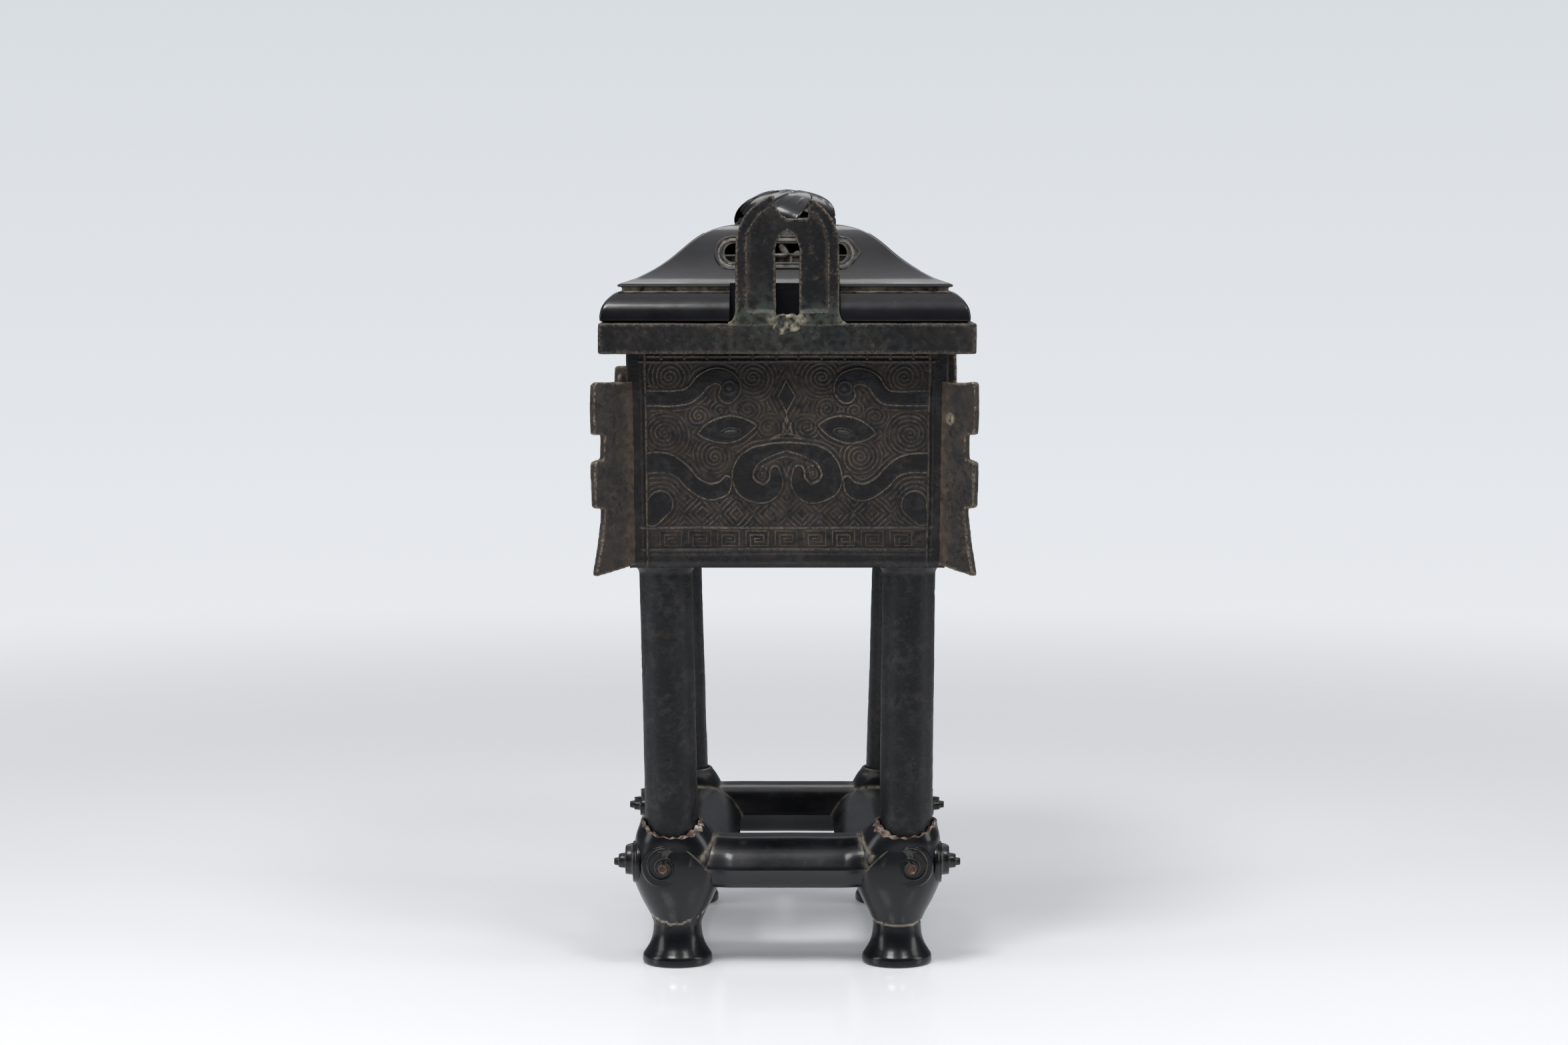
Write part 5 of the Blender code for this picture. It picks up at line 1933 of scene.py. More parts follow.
@dataclass
class Lid:
    """The moulded wooden lid with its pierced cartouches, grilles and handle notches.

    Profile rows are the inset from the lid's edge and the height above its foot.
    """

    BASE = (
        (1.0, 0.0), (0.15, 0.35), (0.0, 1.1), (0.05, 2.4), (0.6, 4.6), (2.0, 6.9), (3.8, 8.7), (5.4, 9.75),
        (6.4, 9.95)
    )
    RECESS = (
        (6.9, 10.05), (7.1, 10.6), (7.0, 11.2), (6.6, 11.45), (6.0, 11.5), (5.72, 11.65), (5.62, 11.95),
        (5.8, 12.25)
    )
    ROOF = (
        (6.4, 12.55), (8.9, 13.35), (12.5, 14.75), (18.2, 17.9), (23.5, 21.6), (29.8, 26.9), (34.9, 30.1),
        (40.0, 31.8), (43.8, 32.4)
    )
    HOLLOW_LEVELS = (15.0, 18.0, 21.5, 26.0, 30.0, 31.6)
    LINING_LEVELS = (16.0, 19.0, 22.5, 26.0, 27.6)
    TRIMS = ((0.55, 0.62, 1.6), (-1.25, 0.50, 0.0))
    LEAF = (
        (0.6, 0.0, 1.0), (-0.3, 1.5, 1.15), (-1.2, 2.9, 1.2), (-1.1, 4.0, 0.9), (0.0, 4.3, 0.55),
        (0.3, 3.7, 0.3)
    )
    BUD = ((1.4, 0.2, 0.7), (1.9, -1.6, 0.6), (1.2, -3.0, 0.9), (0.3, -4.0, 1.0), (0.0, -4.6, 0.4))
    STALK = ((2.4, 0.2, 0.55), (4.0, 1.3, 0.5), (4.9, 0.6, 0.35))

    material: Material
    beads: NodeTree
    bottom_z: float = 218.6
    half_x: float = 61.2
    half_y: float = 77.8
    turn: float = -0.6
    mouth: float = 13.0
    ledge: float = 8.0
    wall: float = 4.5
    notch_half: float = 18.3
    notch_height: float = 14.6
    notch_inner_y: float = 70.8
    cartouche_middle: float = 22.8
    short_length: float = 23.0
    long_length: float = 39.6
    short_height: float = 9.7
    long_height: float = 11.6

    def profile(self) -> np.ndarray:
        """The outer profile from the foot to the top.

        Returns:
            Rows of inset and height.
        """
        return np.vstack([smooth_line(self.BASE, 4), self.RECESS, smooth_line(self.ROOF, 7)])

    def roof_inset(self, height: np.ndarray | float) -> np.ndarray:
        """How far in from the lid's edge its roof lies at a height above its foot."""
        rows = smooth_line(self.ROOF, 7)
        return np.interp(height, rows[:, 1], rows[:, 0])

    def cartouche(self, side: Side) -> tuple[float, float, float]:
        """The distance of a side's edge, and half the length and the height of its opening."""
        short = (self.half_y, self.short_length, self.short_height)
        return short if side.is_short else (self.half_x, self.long_length, self.long_height)

    def stadium(self, half_length: float, height: float, steps: int) -> np.ndarray:
        """A long outline with round ends about the cartouche's middle.

        Args:
            half_length: half its length.
            height: its whole height.
            steps: how many pieces each round end is cut into.

        Returns:
            Rows of across and height above the lid's foot.
        """
        radius = height / 2
        right = np.radians(np.linspace(-90, 90, steps + 1))
        points = []
        for side, turn in ((1, right), (-1, right + math.pi)):
            x = side * (half_length - radius) + radius * np.cos(turn)
            points.append(np.column_stack([x, self.cartouche_middle + radius * np.sin(turn)]))
        return np.vstack(points)

    def finish(self, obj: Piece, sharp: float = 180.0) -> None:
        """Turns one wooden piece as the lid sits on the rim, and dresses it."""
        obj.data.transform(Matrix.Rotation(math.radians(self.turn), 4, "Z"))
        dress(obj, self.material, ["lid"], sharp)

    def build(self) -> None:
        """Builds and dresses the lid and its grilles."""
        half = (self.half_x, self.half_y)
        lid = loft("lid_roof", rectangle_stack(half, self.profile(), self.bottom_z, 0.9, FINE_SIDES))
        points = read_points(lid)
        top = points[:, 2] > self.bottom_z + 12.8
        sag = Grain(Seed.ROOF_SAG).rough(points, 30.0) * 0.22 * top
        sag = sag + Grain(Seed.ROOF).rough(points, 9.0) * 0.05
        push_out(lid, sag)
        lid = combine(lid, [self.hollow(), *self.notches()], "DIFFERENCE")
        openings = []
        for side in Side:
            reach, length, height = self.cartouche(side)
            outline = self.stadium(length - 2.4, height - 3.4, 10) + np.array([0.0, self.bottom_z])
            depth = reach - self.roof_inset(self.cartouche_middle + height / 2) - 3 * self.wall
            openings.append(plate("opening", outline, side.out * reach, side.across, depth - reach, 1.0))
        lid = combine(lid, openings, "DIFFERENCE")
        self.paint_dust(lid)
        self.finish(lid, 38)
        self.build_lining()
        for side in Side:
            self.build_trim(side)
            self.build_grille(side)

    def hollow(self) -> Piece:
        """The lid's inside, as a solid to cut out.

        Returns:
            The solid.
        """
        sections = [(self.mouth, -1.0), (self.mouth, self.ledge)]
        for height in self.HOLLOW_LEVELS:
            inset = self.roof_inset(height) + 0.7 * self.wall
            sections.append((max(inset, self.mouth + 1), height - 0.75 * self.wall))
        half = (self.half_x, self.half_y)
        return loft("hollow", rectangle_stack(half, sections, self.bottom_z, 0.8, (12, 16)))

    def build_lining(self) -> None:
        """The dark lining of the vault, which is all that shows behind the openings."""
        sections = [(self.roof_inset(rise) + 2.1 * self.wall, rise) for rise in self.LINING_LEVELS]
        half = (self.half_x, self.half_y)
        obj = loft("lid_lining", rectangle_stack(half, sections, self.bottom_z, 0.8, (30, 40)))
        paint(obj, "dust", 0.05 + 0.4 * Grain(Seed.LINING).rough(read_points(obj), 4.0))
        self.finish(obj, 40)

    def notches(self) -> list[Piece]:
        """The two cuts that let the handles through.

        Returns:
            The solids to cut out.
        """
        half, low, high = self.notch_half, self.bottom_z - 2, self.bottom_z + self.notch_height
        outline = np.array([
            (-half, low), (half, low), (half, high - 1), (half - 1, high), (1 - half, high), (-half, high - 1)
        ])
        pieces = []
        for side in (Side.FRONT, Side.REAR):
            origin = side.out * self.notch_inner_y
            pieces.append(plate(f"notch_{side.name}", outline, origin, side.across, 0.0, 12.0))
        return pieces

    def paint_dust(self, lid: Piece) -> None:
        """Paints pale dust into the lid's mouldings and round its cartouches.

        Args:
            lid: the lid.
        """
        points = read_points(lid)
        rise = points[:, 2] - self.bottom_z
        grain = Grain(Seed.LID_DUST)
        x, y, _ = np.abs(points).T
        edge = np.minimum(self.half_x - x, self.half_y - y)
        recess = hump(rise - 10.6, 0.9) * step_between(edge, 5.2, 6.6)
        inside = (x < self.notch_half + 0.3) & (y < self.notch_inner_y + 0.2)
        recess = np.where(inside, 0, recess)
        dust = 0.85 * recess + 0.5 * hump(rise - 10.0, 0.5) * step_between(edge, 4.0, 6.0)
        for side in Side:
            reach, length, height = self.cartouche(side)
            facing = points @ side.out > 0
            u = points @ side.across
            radius = height / 2
            gap = np.hypot(np.maximum(np.abs(u) - length + radius, 0), rise - self.cartouche_middle) - radius
            on_face = facing & (np.abs(reach - points @ side.out - self.roof_inset(rise)) < 1.2)
            dust = np.maximum(dust, np.where(on_face, 0.7 * hump(gap + 0.5, 0.5), 0))
            dust = np.maximum(dust, np.where(on_face & (gap < -0.9), 0.16, 0))
        dust = np.where(inside & (rise < self.notch_height + 0.5), 0, dust)
        paint(lid, "dust", dust * (0.75 + 0.5 * grain.rough(points, 7.0)))

    def on_roof(self, side: Side, outline: np.ndarray, lift: float) -> np.ndarray:
        """Puts an outline on one face of the roof.

        Args:
            side: the face.
            outline: rows of across and height above the lid's foot.
            lift: how far it stands off the roof.

        Returns:
            Rows of X, Y and Z.
        """
        inset = self.roof_inset(outline[:, 1])
        lean = np.arctan2(self.roof_inset(outline[:, 1] + 0.5) - inset, 0.5)
        out = self.cartouche(side)[0] - inset + lift * np.cos(lean)
        z = self.bottom_z + outline[:, 1] + lift * np.sin(lean)
        return side.out * out[:, None] + side.across * outline[:, :1] + UP * z[:, None]

    def build_trim(self, side: Side) -> None:
        """The two raised beads round a cartouche, the outer one pointed at one end.

        Args:
            side: the roof's face.
        """
        _, length, height = self.cartouche(side)
        pieces = []
        for grow, radius, point in self.TRIMS:
            outline = subdivide(self.stadium(length + grow, height + 2 * grow * 0.86, 16), 1.2)
            end = step_between(outline[:, 0], length - 2.0, length + grow)
            beside = np.clip(np.abs(outline[:, 1] - self.cartouche_middle) / 3.0, 0, 1)
            outline[:, 0] += end * (1 - beside) ** 1.5 * point
            path = self.on_roof(side, outline, -0.22)
            pieces.append(bead("trim", self.beads, path, np.full(len(path), radius), self.material, True, 10))
        obj = merge(f"lid_trim_{side.label}", pieces)
        paint(obj, "dust", 0.04 + 0.3 * Grain(Seed.TRIMS).rough(read_points(obj), 4.0))
        self.finish(obj)

    def build_grille(self, side: Side) -> None:
        """The thin bar across a cartouche, with a leaf, a bud and a stalk, three times on a long side.

        Args:
            side: the roof's face.
        """
        length = self.cartouche(side)[1]
        right = ((4.0, 0.15, 0.75), (length * 0.5, 0.1, 0.45), (length, 0.0, 0.42))
        left = [(-x, z, radius) for x, z, radius in reversed(right)]
        lines = [(*left, (0.0, 0.0, 1.0), *right), self.LEAF, self.BUD, self.STALK]
        if not side.is_short:
            for hand, line in product((-1, 1), (self.LEAF, self.BUD, self.STALK)):
                lines.append([((x + 0.52 * length) * hand, z, radius) for x, z, radius in line])
        pieces = []
        for line in lines:
            rows = smooth_line(line, 6) + np.array([0.0, self.cartouche_middle, 0.0])
            path = self.on_roof(side, rows[:, :2], -1.5)
            pieces.append(bead("grille", self.beads, path, rows[:, 2], self.material, False, 10))
        obj = merge(f"lid_grille_{side.label}", pieces)
        paint(obj, "dust", 0.22)
        self.finish(obj)


@dataclass
class Finial:
    """The carved knob: an openwork dome of sweeping leaves on a low plinth."""

    PLINTH = ((0.5, 0.0), (0.05, 0.3), (0.0, 0.9), (0.05, 1.9), (0.5, 2.3), (3.4, 2.35), (3.8, 1.9))
    CROWN = ((5.4, 2.6), (5.6, 1.9), (4.9, 1.1), (3.4, 0.5), (1.6, 0.12), (0.2, 0.0))

    material: Material
    wheels: NodeTree
    base_z: float = 251.3
    half_x: float = 17.2
    half_y: float = 20.0
    plinth: float = 2.3
    rise: float = 9.9
    leaves: int = 7
    sweep: float = 62.0
    lip: float = 1.0

    def build(self) -> None:
        """Builds and dresses the plinth and the dome."""
        turn = turns_round(72)
        rings = []
        for narrower, rise in self.PLINTH:
            x = (self.half_x - narrower) * np.sign(np.cos(turn)) * np.abs(np.cos(turn)) ** 0.9
            y = (self.half_y - narrower) * np.sign(np.sin(turn)) * np.abs(np.sin(turn)) ** 0.9
            rings.append(level_ring(np.column_stack([x, y]), self.base_z + rise))
        plinth = loft("finial_plinth", np.array(rings))
        leaf = self.leaf()
        host = new_piece("finial_leaves", np.zeros((1, 3)), [])
        leaves = self.wheels.run(host, {"Item": leaf, "Count": self.leaves, "Material": self.material})
        bpy.data.objects.remove(leaf, do_unlink=True)
        points = read_points(leaves)
        points[:, 1] *= (self.half_y - self.lip) / (self.half_x - self.lip)
        points[:, 2] += self.base_z + self.plinth - 0.3
        write_points(leaves, points)
        obj = merge("lid_finial_carved", [plinth, leaves, self.crown()])
        obj = remesh(obj, 0.30, 3)
        hollow, _ = weather(obj, 6, 4.0)
        paint(obj, "dust", hollow * 0.35)
        dress(obj, self.material, ["lid_finial"])

    def crown(self) -> Piece:
        """The small closed cap where the leaves meet.

        Returns:
            The cap.
        """
        rings = []
        turn = turns_round(40)
        top = self.base_z + self.plinth + self.rise
        wave = 1 + 0.08 * np.sin(turn * 5)
        for radius, drop in self.CROWN:
            x, y = radius * wave * np.cos(turn), 1.15 * radius * wave * np.sin(turn)
            rings.append(level_ring(np.column_stack([x, y]), top - drop))
        return loft("finial_crown", np.array(rings))

    def leaf(self) -> Piece:
        """One leaf that sweeps up the dome, thick in the middle and thin at its edges.

        Returns:
            The leaf, about the upright axis.
        """
        radius = self.half_x - self.lip
        shares = np.linspace(0.0, 1.0, 26)

        def place(share: float) -> np.ndarray:
            """A point on the dome along the leaf's middle.

            Args:
                share: how far along, from 0 at the foot to 1.

            Returns:
                The point above the plinth's middle.
            """
            climb = math.radians(2 + 76 * share)
            turn = math.radians(self.sweep * share**1.3)
            reach = radius * math.cos(climb) ** 0.86
            height = self.rise * math.sin(climb) ** 0.9
            return np.array([reach * math.cos(turn), reach * math.sin(turn), height])

        rings = []
        for share in shares:
            here = place(share)
            ahead = place(min(share + 0.02, 1.02)) - place(share - 0.02 if share > 0.02 else 0.0)
            ahead = ahead / np.linalg.norm(ahead)
            outward = here * np.array([1 / radius**2, 1 / radius**2, 1 / self.rise**2])
            outward = outward - ahead * (outward @ ahead)
            outward = outward / np.linalg.norm(outward)
            beside = np.cross(ahead, outward)
            half = 6.6 * (1 - share) ** 0.72 + 1.5
            ring = []
            for angle in turns_round(14):
                flat, thick = math.cos(angle), math.sin(angle)
                curl = 0.9 * max(flat, 0) ** 2 - 0.5 * max(-flat, 0) ** 2
                ring.append(here + beside * half * flat + outward * (thick * 1.0 + curl - 0.9))
            rings.append(ring)
        return loft("leaf", np.array(rings))


# Wooden stand


@dataclass
class Stand:
    """The four-footed wooden stand: feet with sockets and volutes, and four crowned rails.

    Section rows are a height, the half width, the squareness, and the share of the shift towards the leg.
    """

    SECTIONS = (
        (0.0, 11.2, 2.0, 0.0), (0.5, 11.75, 2.0, 0.0), (1.6, 11.85, 2.0, 0.0), (2.9, 11.7, 2.0, 0.0),
        (4.2, 10.9, 2.0, 0.0), (6.4, 9.6, 2.0, 0.0), (9.0, 8.65, 2.0, 0.0), (12.2, 8.2, 2.0, 0.0),
        (14.4, 8.35, 2.0, 0.0), (18.0, 9.9, 2.15, 0.0), (22.0, 12.0, 2.35, 0.0), (27.0, 14.1, 2.6, 0.0),
        (31.0, 15.0, 2.8, 0.0), (36.0, 15.1, 2.8, 0.02), (40.3, 14.5, 2.7, 0.1), (44.0, 13.4, 2.45, 0.38),
        (47.0, 12.0, 2.2, 0.62), (48.8, 10.9, 2.05, 0.9), (49.6, 10.5, 2.0, 1.0)
    )
    TORN_EDGE = (
        (-1.30, 0.0), (-1.18, 1.6), (-1.05, 1.2), (-0.88, 3.0), (-0.70, 2.7), (-0.50, 4.4), (-0.38, 4.0),
        (-0.22, 5.0), (-0.06, 4.4), (0.10, 4.9), (0.26, 4.1), (0.44, 4.5), (0.60, 3.0), (0.76, 3.3),
        (0.92, 1.5), (1.08, 1.7), (1.24, 0.0)
    )
    TAIL = (
        (5.6, -3.2), (6.0, 1.2), (4.6, 5.0), (1.0, 7.4), (-3.4, 7.6), (-7.6, 5.6), (-11.6, 2.2), (-14.6, -1.0)
    )
    CRACKS = {
        Corner.FRONT_LEFT: ((-9, -5, -1, 2, 5, 10), (16.4, 14.8, 14.3, 14.6, 15.6, 18.6), 1.8, 0.55),
        Corner.FRONT_RIGHT: ((-9, -4, 2, 9), (15.0, 14.0, 13.7, 14.5), 3.0, 0.14)
    }

    material: Material
    beads: NodeTree
    ding: Ding
    foot_x: float = 37.4
    foot_y: float = 54.0
    shoulder: float = 15.0
    collar_top: float = 49.6
    collar_low: float = 40.0
    socket: float = 9.4
    socket_floor: float = 40.0
    volute_offset: float = 4.4
    volute_z: float = 35.3
    volute_radius: float = 6.6
    volute_start: float = 60.0
    volute_back: float = -3.0
    tier: float = 2.35
    knob: float = 1.6
    rail_outer: float = 16.0
    rail_inner_short: float = 13.4
    rail_inner_long: float = 20.6
    rail_top: float = 44.2
    rail_bottom: float = 27.0
    foot_points: int = 120
    edge_shares: tuple[float, ...] = (0.2, 0.45, 0.7, 0.9)
    socket_shares: tuple[float, ...] = (0.0, 0.3, 0.65, 1.0)
    seam: float = 0.18

    def build(self) -> None:
        """Builds and dresses the feet and the rails."""
        for corner in Corner:
            self.build_foot(corner)
        for side in Side:
            self.build_rail(side)

    def section_at(self, z: np.ndarray) -> tuple[np.ndarray, np.ndarray, np.ndarray]:
        """The half width, squareness and shift of a foot at some heights.

        Args:
            z: the heights.

        Returns:
            One array of each.
        """
        table = smooth_line(self.SECTIONS, 5)
        return tuple(np.interp(z, table[:, 0], table[:, column]) for column in (1, 2, 3))

    def leg_at(self, corner: Corner, z: float) -> np.ndarray:
        """The middle of the vessel's leg.

        Args:
            corner: where the leg stands.
            z: the height at which its middle is wanted.

        Returns:
            Its X and Y.
        """
        ding = self.ding
        share = (ding.bottom_z - z) / (ding.bottom_z - ding.leg_bottom_z)
        side_x, side_y = corner.value
        return np.array([side_x * (ding.leg_x - ding.LEANS[corner] * share), side_y * ding.leg_y])

    def outline_at(self, corner: Corner, z: np.ndarray, turn: np.ndarray) -> np.ndarray:
        """Points on a foot's outside.

        Args:
            corner: the foot.
            z: the height of each point.
            turn: the angle of each point round the foot.

        Returns:
            Rows of X, Y and Z.
        """
        half, power, shift = self.section_at(z)
        axis = np.array(corner.value) * np.array([self.foot_x, self.foot_y])
        leg = self.leg_at(corner, self.collar_top)
        middle = axis + (leg - axis) * shift[:, None]
        cos, sin = np.cos(turn), np.sin(turn)
        reach = half / (np.abs(cos) ** power + np.abs(sin) ** power) ** (1 / power)
        return np.column_stack([middle[:, 0] + reach * cos, middle[:, 1] + reach * sin, z])

    def collar_edge(self, corner: Corner, turn: np.ndarray) -> np.ndarray:
        """The height of a foot's collar all round, torn away in front on the front feet.

        Args:
            corner: the foot.
            turn: angles round the foot.

        Returns:
            A height for each angle.
        """
        if not corner.is_front:
            return np.full(len(turn), self.collar_top)
        from_front = (turn + math.pi / 2 + math.pi) % (2 * math.pi) - math.pi
        places, drops = zip(*self.TORN_EDGE)
        return self.collar_top - np.interp(from_front * corner.value[0], places, drops, 0.0, 0.0)

    def build_foot(self, corner: Corner) -> None:
        """One foot with its leg socket, torn collar, crack and two volutes.

        Args:
            corner: where it stands.
        """
        around = self.foot_points
        turn = turns_round(around)
        edge = self.collar_edge(corner, turn)
        low = self.collar_low
        body_levels = [row[0] for row in smooth_line(self.SECTIONS, 5)[:66]]
        rings = []
        for level in np.unique(np.round([*body_levels, *np.linspace(low - 1, self.collar_top, 26)], 3)):
            stretched = low + (level - low) * (edge - low) / (self.collar_top - low)
            z = stretched if level > low else np.full(around, level)
            rings.append(self.outline_at(corner, z, turn))
        body_rings = len(rings)
        circle = self.socket * np.column_stack([np.cos(turn), np.sin(turn)])
        leg = self.leg_at(corner, self.collar_top)
        rim = rings[-1]
        inner = np.column_stack([leg + circle, rim[:, 2]])
        grain = Grain(Seed.FEET + corner.value[0] + 2 * corner.value[1])
        torn = self.collar_top - edge > 0.3
        for share in self.edge_shares:
            ring = rim + (inner - rim) * share
            splinters = grain.rough(ring, 1.2) * 0.7 + 0.1
            ring[:, 2] += np.where(torn, splinters, 0.25 * math.sin(math.pi * share))
            rings.append(ring)
        floor_leg = self.leg_at(corner, self.socket_floor)
        for share in self.socket_shares:
            z = inner[:, 2] + (self.socket_floor - inner[:, 2]) * share
            rings.append(np.column_stack([leg + (floor_leg - leg) * share + circle, z]))
        foot = loft(f"foot_{corner.label}", np.array(rings))
        points = read_points(foot)
        row, column = np.divmod(np.arange(len(points)), around)
        crack = self.crack_depth(corner, points, grain)
        push_out(foot, (grain.rough(points, 11.0) * 0.10 - crack * 0.5) * (row < body_rings))
        raw = (row >= body_rings - 1) & (row < body_rings + 4) & torn[column]
        dust = 0.27 * hump(points[:, 2] - self.collar_top, 0.5) * ~raw
        pale = np.clip(crack * 0.9, 0, 1) * (grain.rough(points, 3.0) > -0.35)
        paint(foot, "dust", dust + self.near_rail(corner, points) * 0.8)
        paint(foot, "raw", raw * (0.75 + 0.5 * grain.rough(points, 2.0)))
        paint(foot, "pale", pale + 0.35 * raw * (grain.sample(points, 1.0) > 0.25))
        self.finish(foot, f"stand_foot_{corner.label}", 50)
        for on_side in (False, True):
            self.build_volute(corner, on_side)

    def finish(self, obj: Piece, node: str, sharp: float = 180.0) -> None:
        """Dresses one wooden piece of the stand."""
        dress(obj, self.material, [node], sharp)

    def near_rail(self, corner: Corner, points: np.ndarray) -> np.ndarray:
        """Where the rails meet a foot, so that dust lies in the joint.

        Args:
            corner: the foot.
            points: rows of X, Y and Z.

        Returns:
            A number from 0 to 1 for each point.
        """
        side_x, side_y = corner.value
        local_x = (points[:, 0] - side_x * self.foot_x) * -side_x
        local_y = (points[:, 1] - side_y * self.foot_y) * -side_y
        high = self.rail_height(np.zeros(1))[0]
        joint = 0.0
        for along, beside, outer, inner in (
            (local_x, -local_y, self.rail_outer, self.rail_inner_short),
            (local_y, -local_x, self.rail_outer, self.rail_inner_long)
        ):
            share = (beside - (outer - inner) / 2) / ((outer + inner) / 2)
            surface = self.rail_height(np.clip(share, -1, 1))
            gap = points[:, 2] - np.minimum(surface, high)
            joint = np.maximum(joint, hump(gap, 0.55) * (along > 4) * (np.abs(share) < 1.05))
        return joint

    def crack_depth(self, corner: Corner, points: np.ndarray, grain: Grain) -> np.ndarray:
        """How deep the crack round a front ankle is.

        Args:
            corner: the foot.
            points: rows of X, Y and Z.
            grain: the foot's noise.

        Returns:
            A number from 0 to 1 for each point.
        """
        if not corner.is_front:
            return np.zeros(len(points))
        places, levels, size, waver = self.CRACKS[corner]
        level = np.interp(points[:, 0] - corner.value[0] * self.foot_x, places, levels)
        level = level + grain.sample(points * np.array([1, 1, 0]), size) * waver
        return hump(points[:, 2] - level, 0.28)

    def volute_place(self, corner: Corner, on_side: bool) -> tuple[np.ndarray, np.ndarray]:
        """Where a volute sits.

        Args:
            corner: the foot.
            on_side: whether it is the one that faces left or right.

        Returns:
            Its middle and the way across it.
        """
        side_x, side_y = corner.value
        offset = self.volute_offset
        surface = self.shoulder * (1 - (offset / self.shoulder) ** 2.8) ** (1 / 2.8)
        out_x, out_y = (surface, offset) if on_side else (offset, surface)
        middle = (side_x * (self.foot_x + out_x), side_y * (self.foot_y + out_y), self.volute_z)
        across = (0.0, side_x, 0.0) if on_side else (-side_y, 0.0, 0.0)
        return np.array(middle), np.array(across)

    def build_volute(self, corner: Corner, on_side: bool) -> None:
        """One stepped snail-shell volute, with its knob or the raw stub of it.

        Args:
            corner: the foot.
            on_side: whether it faces left or right.
        """
        middle, across = self.volute_place(corner, on_side)
        hand = corner.value[0] * corner.value[1] * (-1 if on_side else 1)
        broken = corner.is_front and not on_side
        radii = np.linspace(0, self.volute_radius + 0.9, 62)
        turns = turns_round(84)
        radius, turn = np.meshgrid(radii, turns, indexing="ij")
        height = self.volute_height(radius, turn, broken)
        way = turn + math.radians(self.volute_start)
        points = np.stack([hand * radius * np.cos(way), radius * np.sin(way), height], -1)
        points[0] = points[0].mean(0)
        points = np.concatenate([points, points[-1:] * (1, 1, 0) + (0, 0, self.volute_back)])
        if hand < 0:
            points = points[:, ::-1]
        rows, count = points.shape[:2]
        faces = grid_faces(rows, count, True)
        faces.append(list(range((rows - 1) * count, rows * count)))
        flat = place_in(points.reshape(-1, 3), middle, across, UP)
        obj = new_piece(f"volute_{corner.label}_{'side' if on_side else 'face'}", flat, faces)
        face_outwards(obj.data, 10 * WELD)
        paint(obj, "dust", weather(obj, 6, 3.0)[0] * 0.6)
        local = read_points(obj) - middle
        if broken:
            paint(obj, "raw", step_between(np.hypot(local @ across, local[:, 2]), 1.75, 1.35))
        self.finish(obj, f"stand_foot_{corner.label}")
        if not on_side:
            self.build_tail(corner, middle)

    def volute_height(self, radius: np.ndarray, turn: np.ndarray, broken: bool) -> np.ndarray:
        """The stepped spiral of a volute, each lap one tier higher, with its knob.

        Args:
            radius: distances from its middle.
            turn: angles about it.
            broken: whether the knob is broken off.

        Returns:
            How far each point stands out.
        """
        height = np.zeros(radius.shape)
        fade = step_between(turn, 0.0, 0.8)
        for shown, step_up in ((fade, 1.0), (1.0, 1.0), (1.0, 0.55)):
            lap = self.volute_radius * 0.5 ** (turn / (2 * math.pi))
            turn = turn + 2 * math.pi
            rise = step_between(lap - radius, -0.10, 0.32) * self.tier * step_up
            height += (rise + 0.22 * hump(lap - radius - 0.45, 0.35)) * shown
        knob = step_between(radius, 1.5, 0.9 if broken else 1.05)
        tip = -0.5 if broken else self.knob + 0.2
        height = height * (1 - knob) + (2 * self.tier + tip) * knob
        height -= 1.2 * step_between(radius, self.volute_radius + 0.2, self.volute_radius + 0.9)
        if broken:
            spread = np.stack([radius * np.cos(turn), radius * np.sin(turn), np.zeros(radius.shape)], -1)
            height += Grain(Seed.STUBS).rough(spread, 0.8) * 0.5 * knob
        return height

    def build_tail(self, corner: Corner, middle: np.ndarray) -> None:
        """The thin ridge from a volute over the shoulder to the rail's joint.

        Args:
            corner: the foot.
            middle: the volute's middle.
        """
        side_x, side_y = corner.value
        rows = smooth_line(self.TAIL, 8)
        x = middle[0] + side_x * rows[:, 0]
        z = middle[2] + rows[:, 1]
        half, power, _ = self.section_at(z)
        half = half + 0.05
        off = np.clip(np.abs(x - side_x * self.foot_x) / half, 0, 0.999)
        y = side_y * (self.foot_y + half * (1 - off**power) ** (1 / power))
        path = np.column_stack([x, y, z])
        radii = 0.42 * np.sin(np.linspace(0.35, math.pi - 0.25, len(path))) ** 0.5
        obj = bead(f"tail_{corner.label}", self.beads, path, radii, self.material)
        paint(obj, "dust", 0.22)
        self.finish(obj, f"stand_foot_{corner.label}")

    def rail_height(self, share: np.ndarray) -> np.ndarray:
        """The height of a rail's top.

        Args:
            share: places across it, from -1 on its inner edge to 1 on its outer one.

        Returns:
            The heights.
        """
        arris = (self.rail_top + self.rail_bottom) / 2 - 1.1
        drop = np.clip(np.abs(share), 0, 1)
        return arris + (self.rail_top - arris) * (1 - drop**2.7) ** 0.85

    def rail_section(self) -> np.ndarray:
        """Shares of the half width and heights round a rail.

        Returns:
            Rows of share and height.
        """
        shares = np.linspace(1.0, -1.0, 13)
        top = smooth_line(np.column_stack([shares, self.rail_height(shares)]), 3)
        arris, bottom = top[-1][1], self.rail_bottom
        under = smooth_line(
            [(-1.0, arris - 0.25), (-0.86, arris - 2.6), (-0.66, bottom + 0.9), (-0.5, bottom + 0.05)], 4
        )
        flat = np.column_stack([np.linspace(-0.4, 0.4, 7), np.full(7, bottom)])
        return np.vstack([top, under, flat, mirrored(under)])

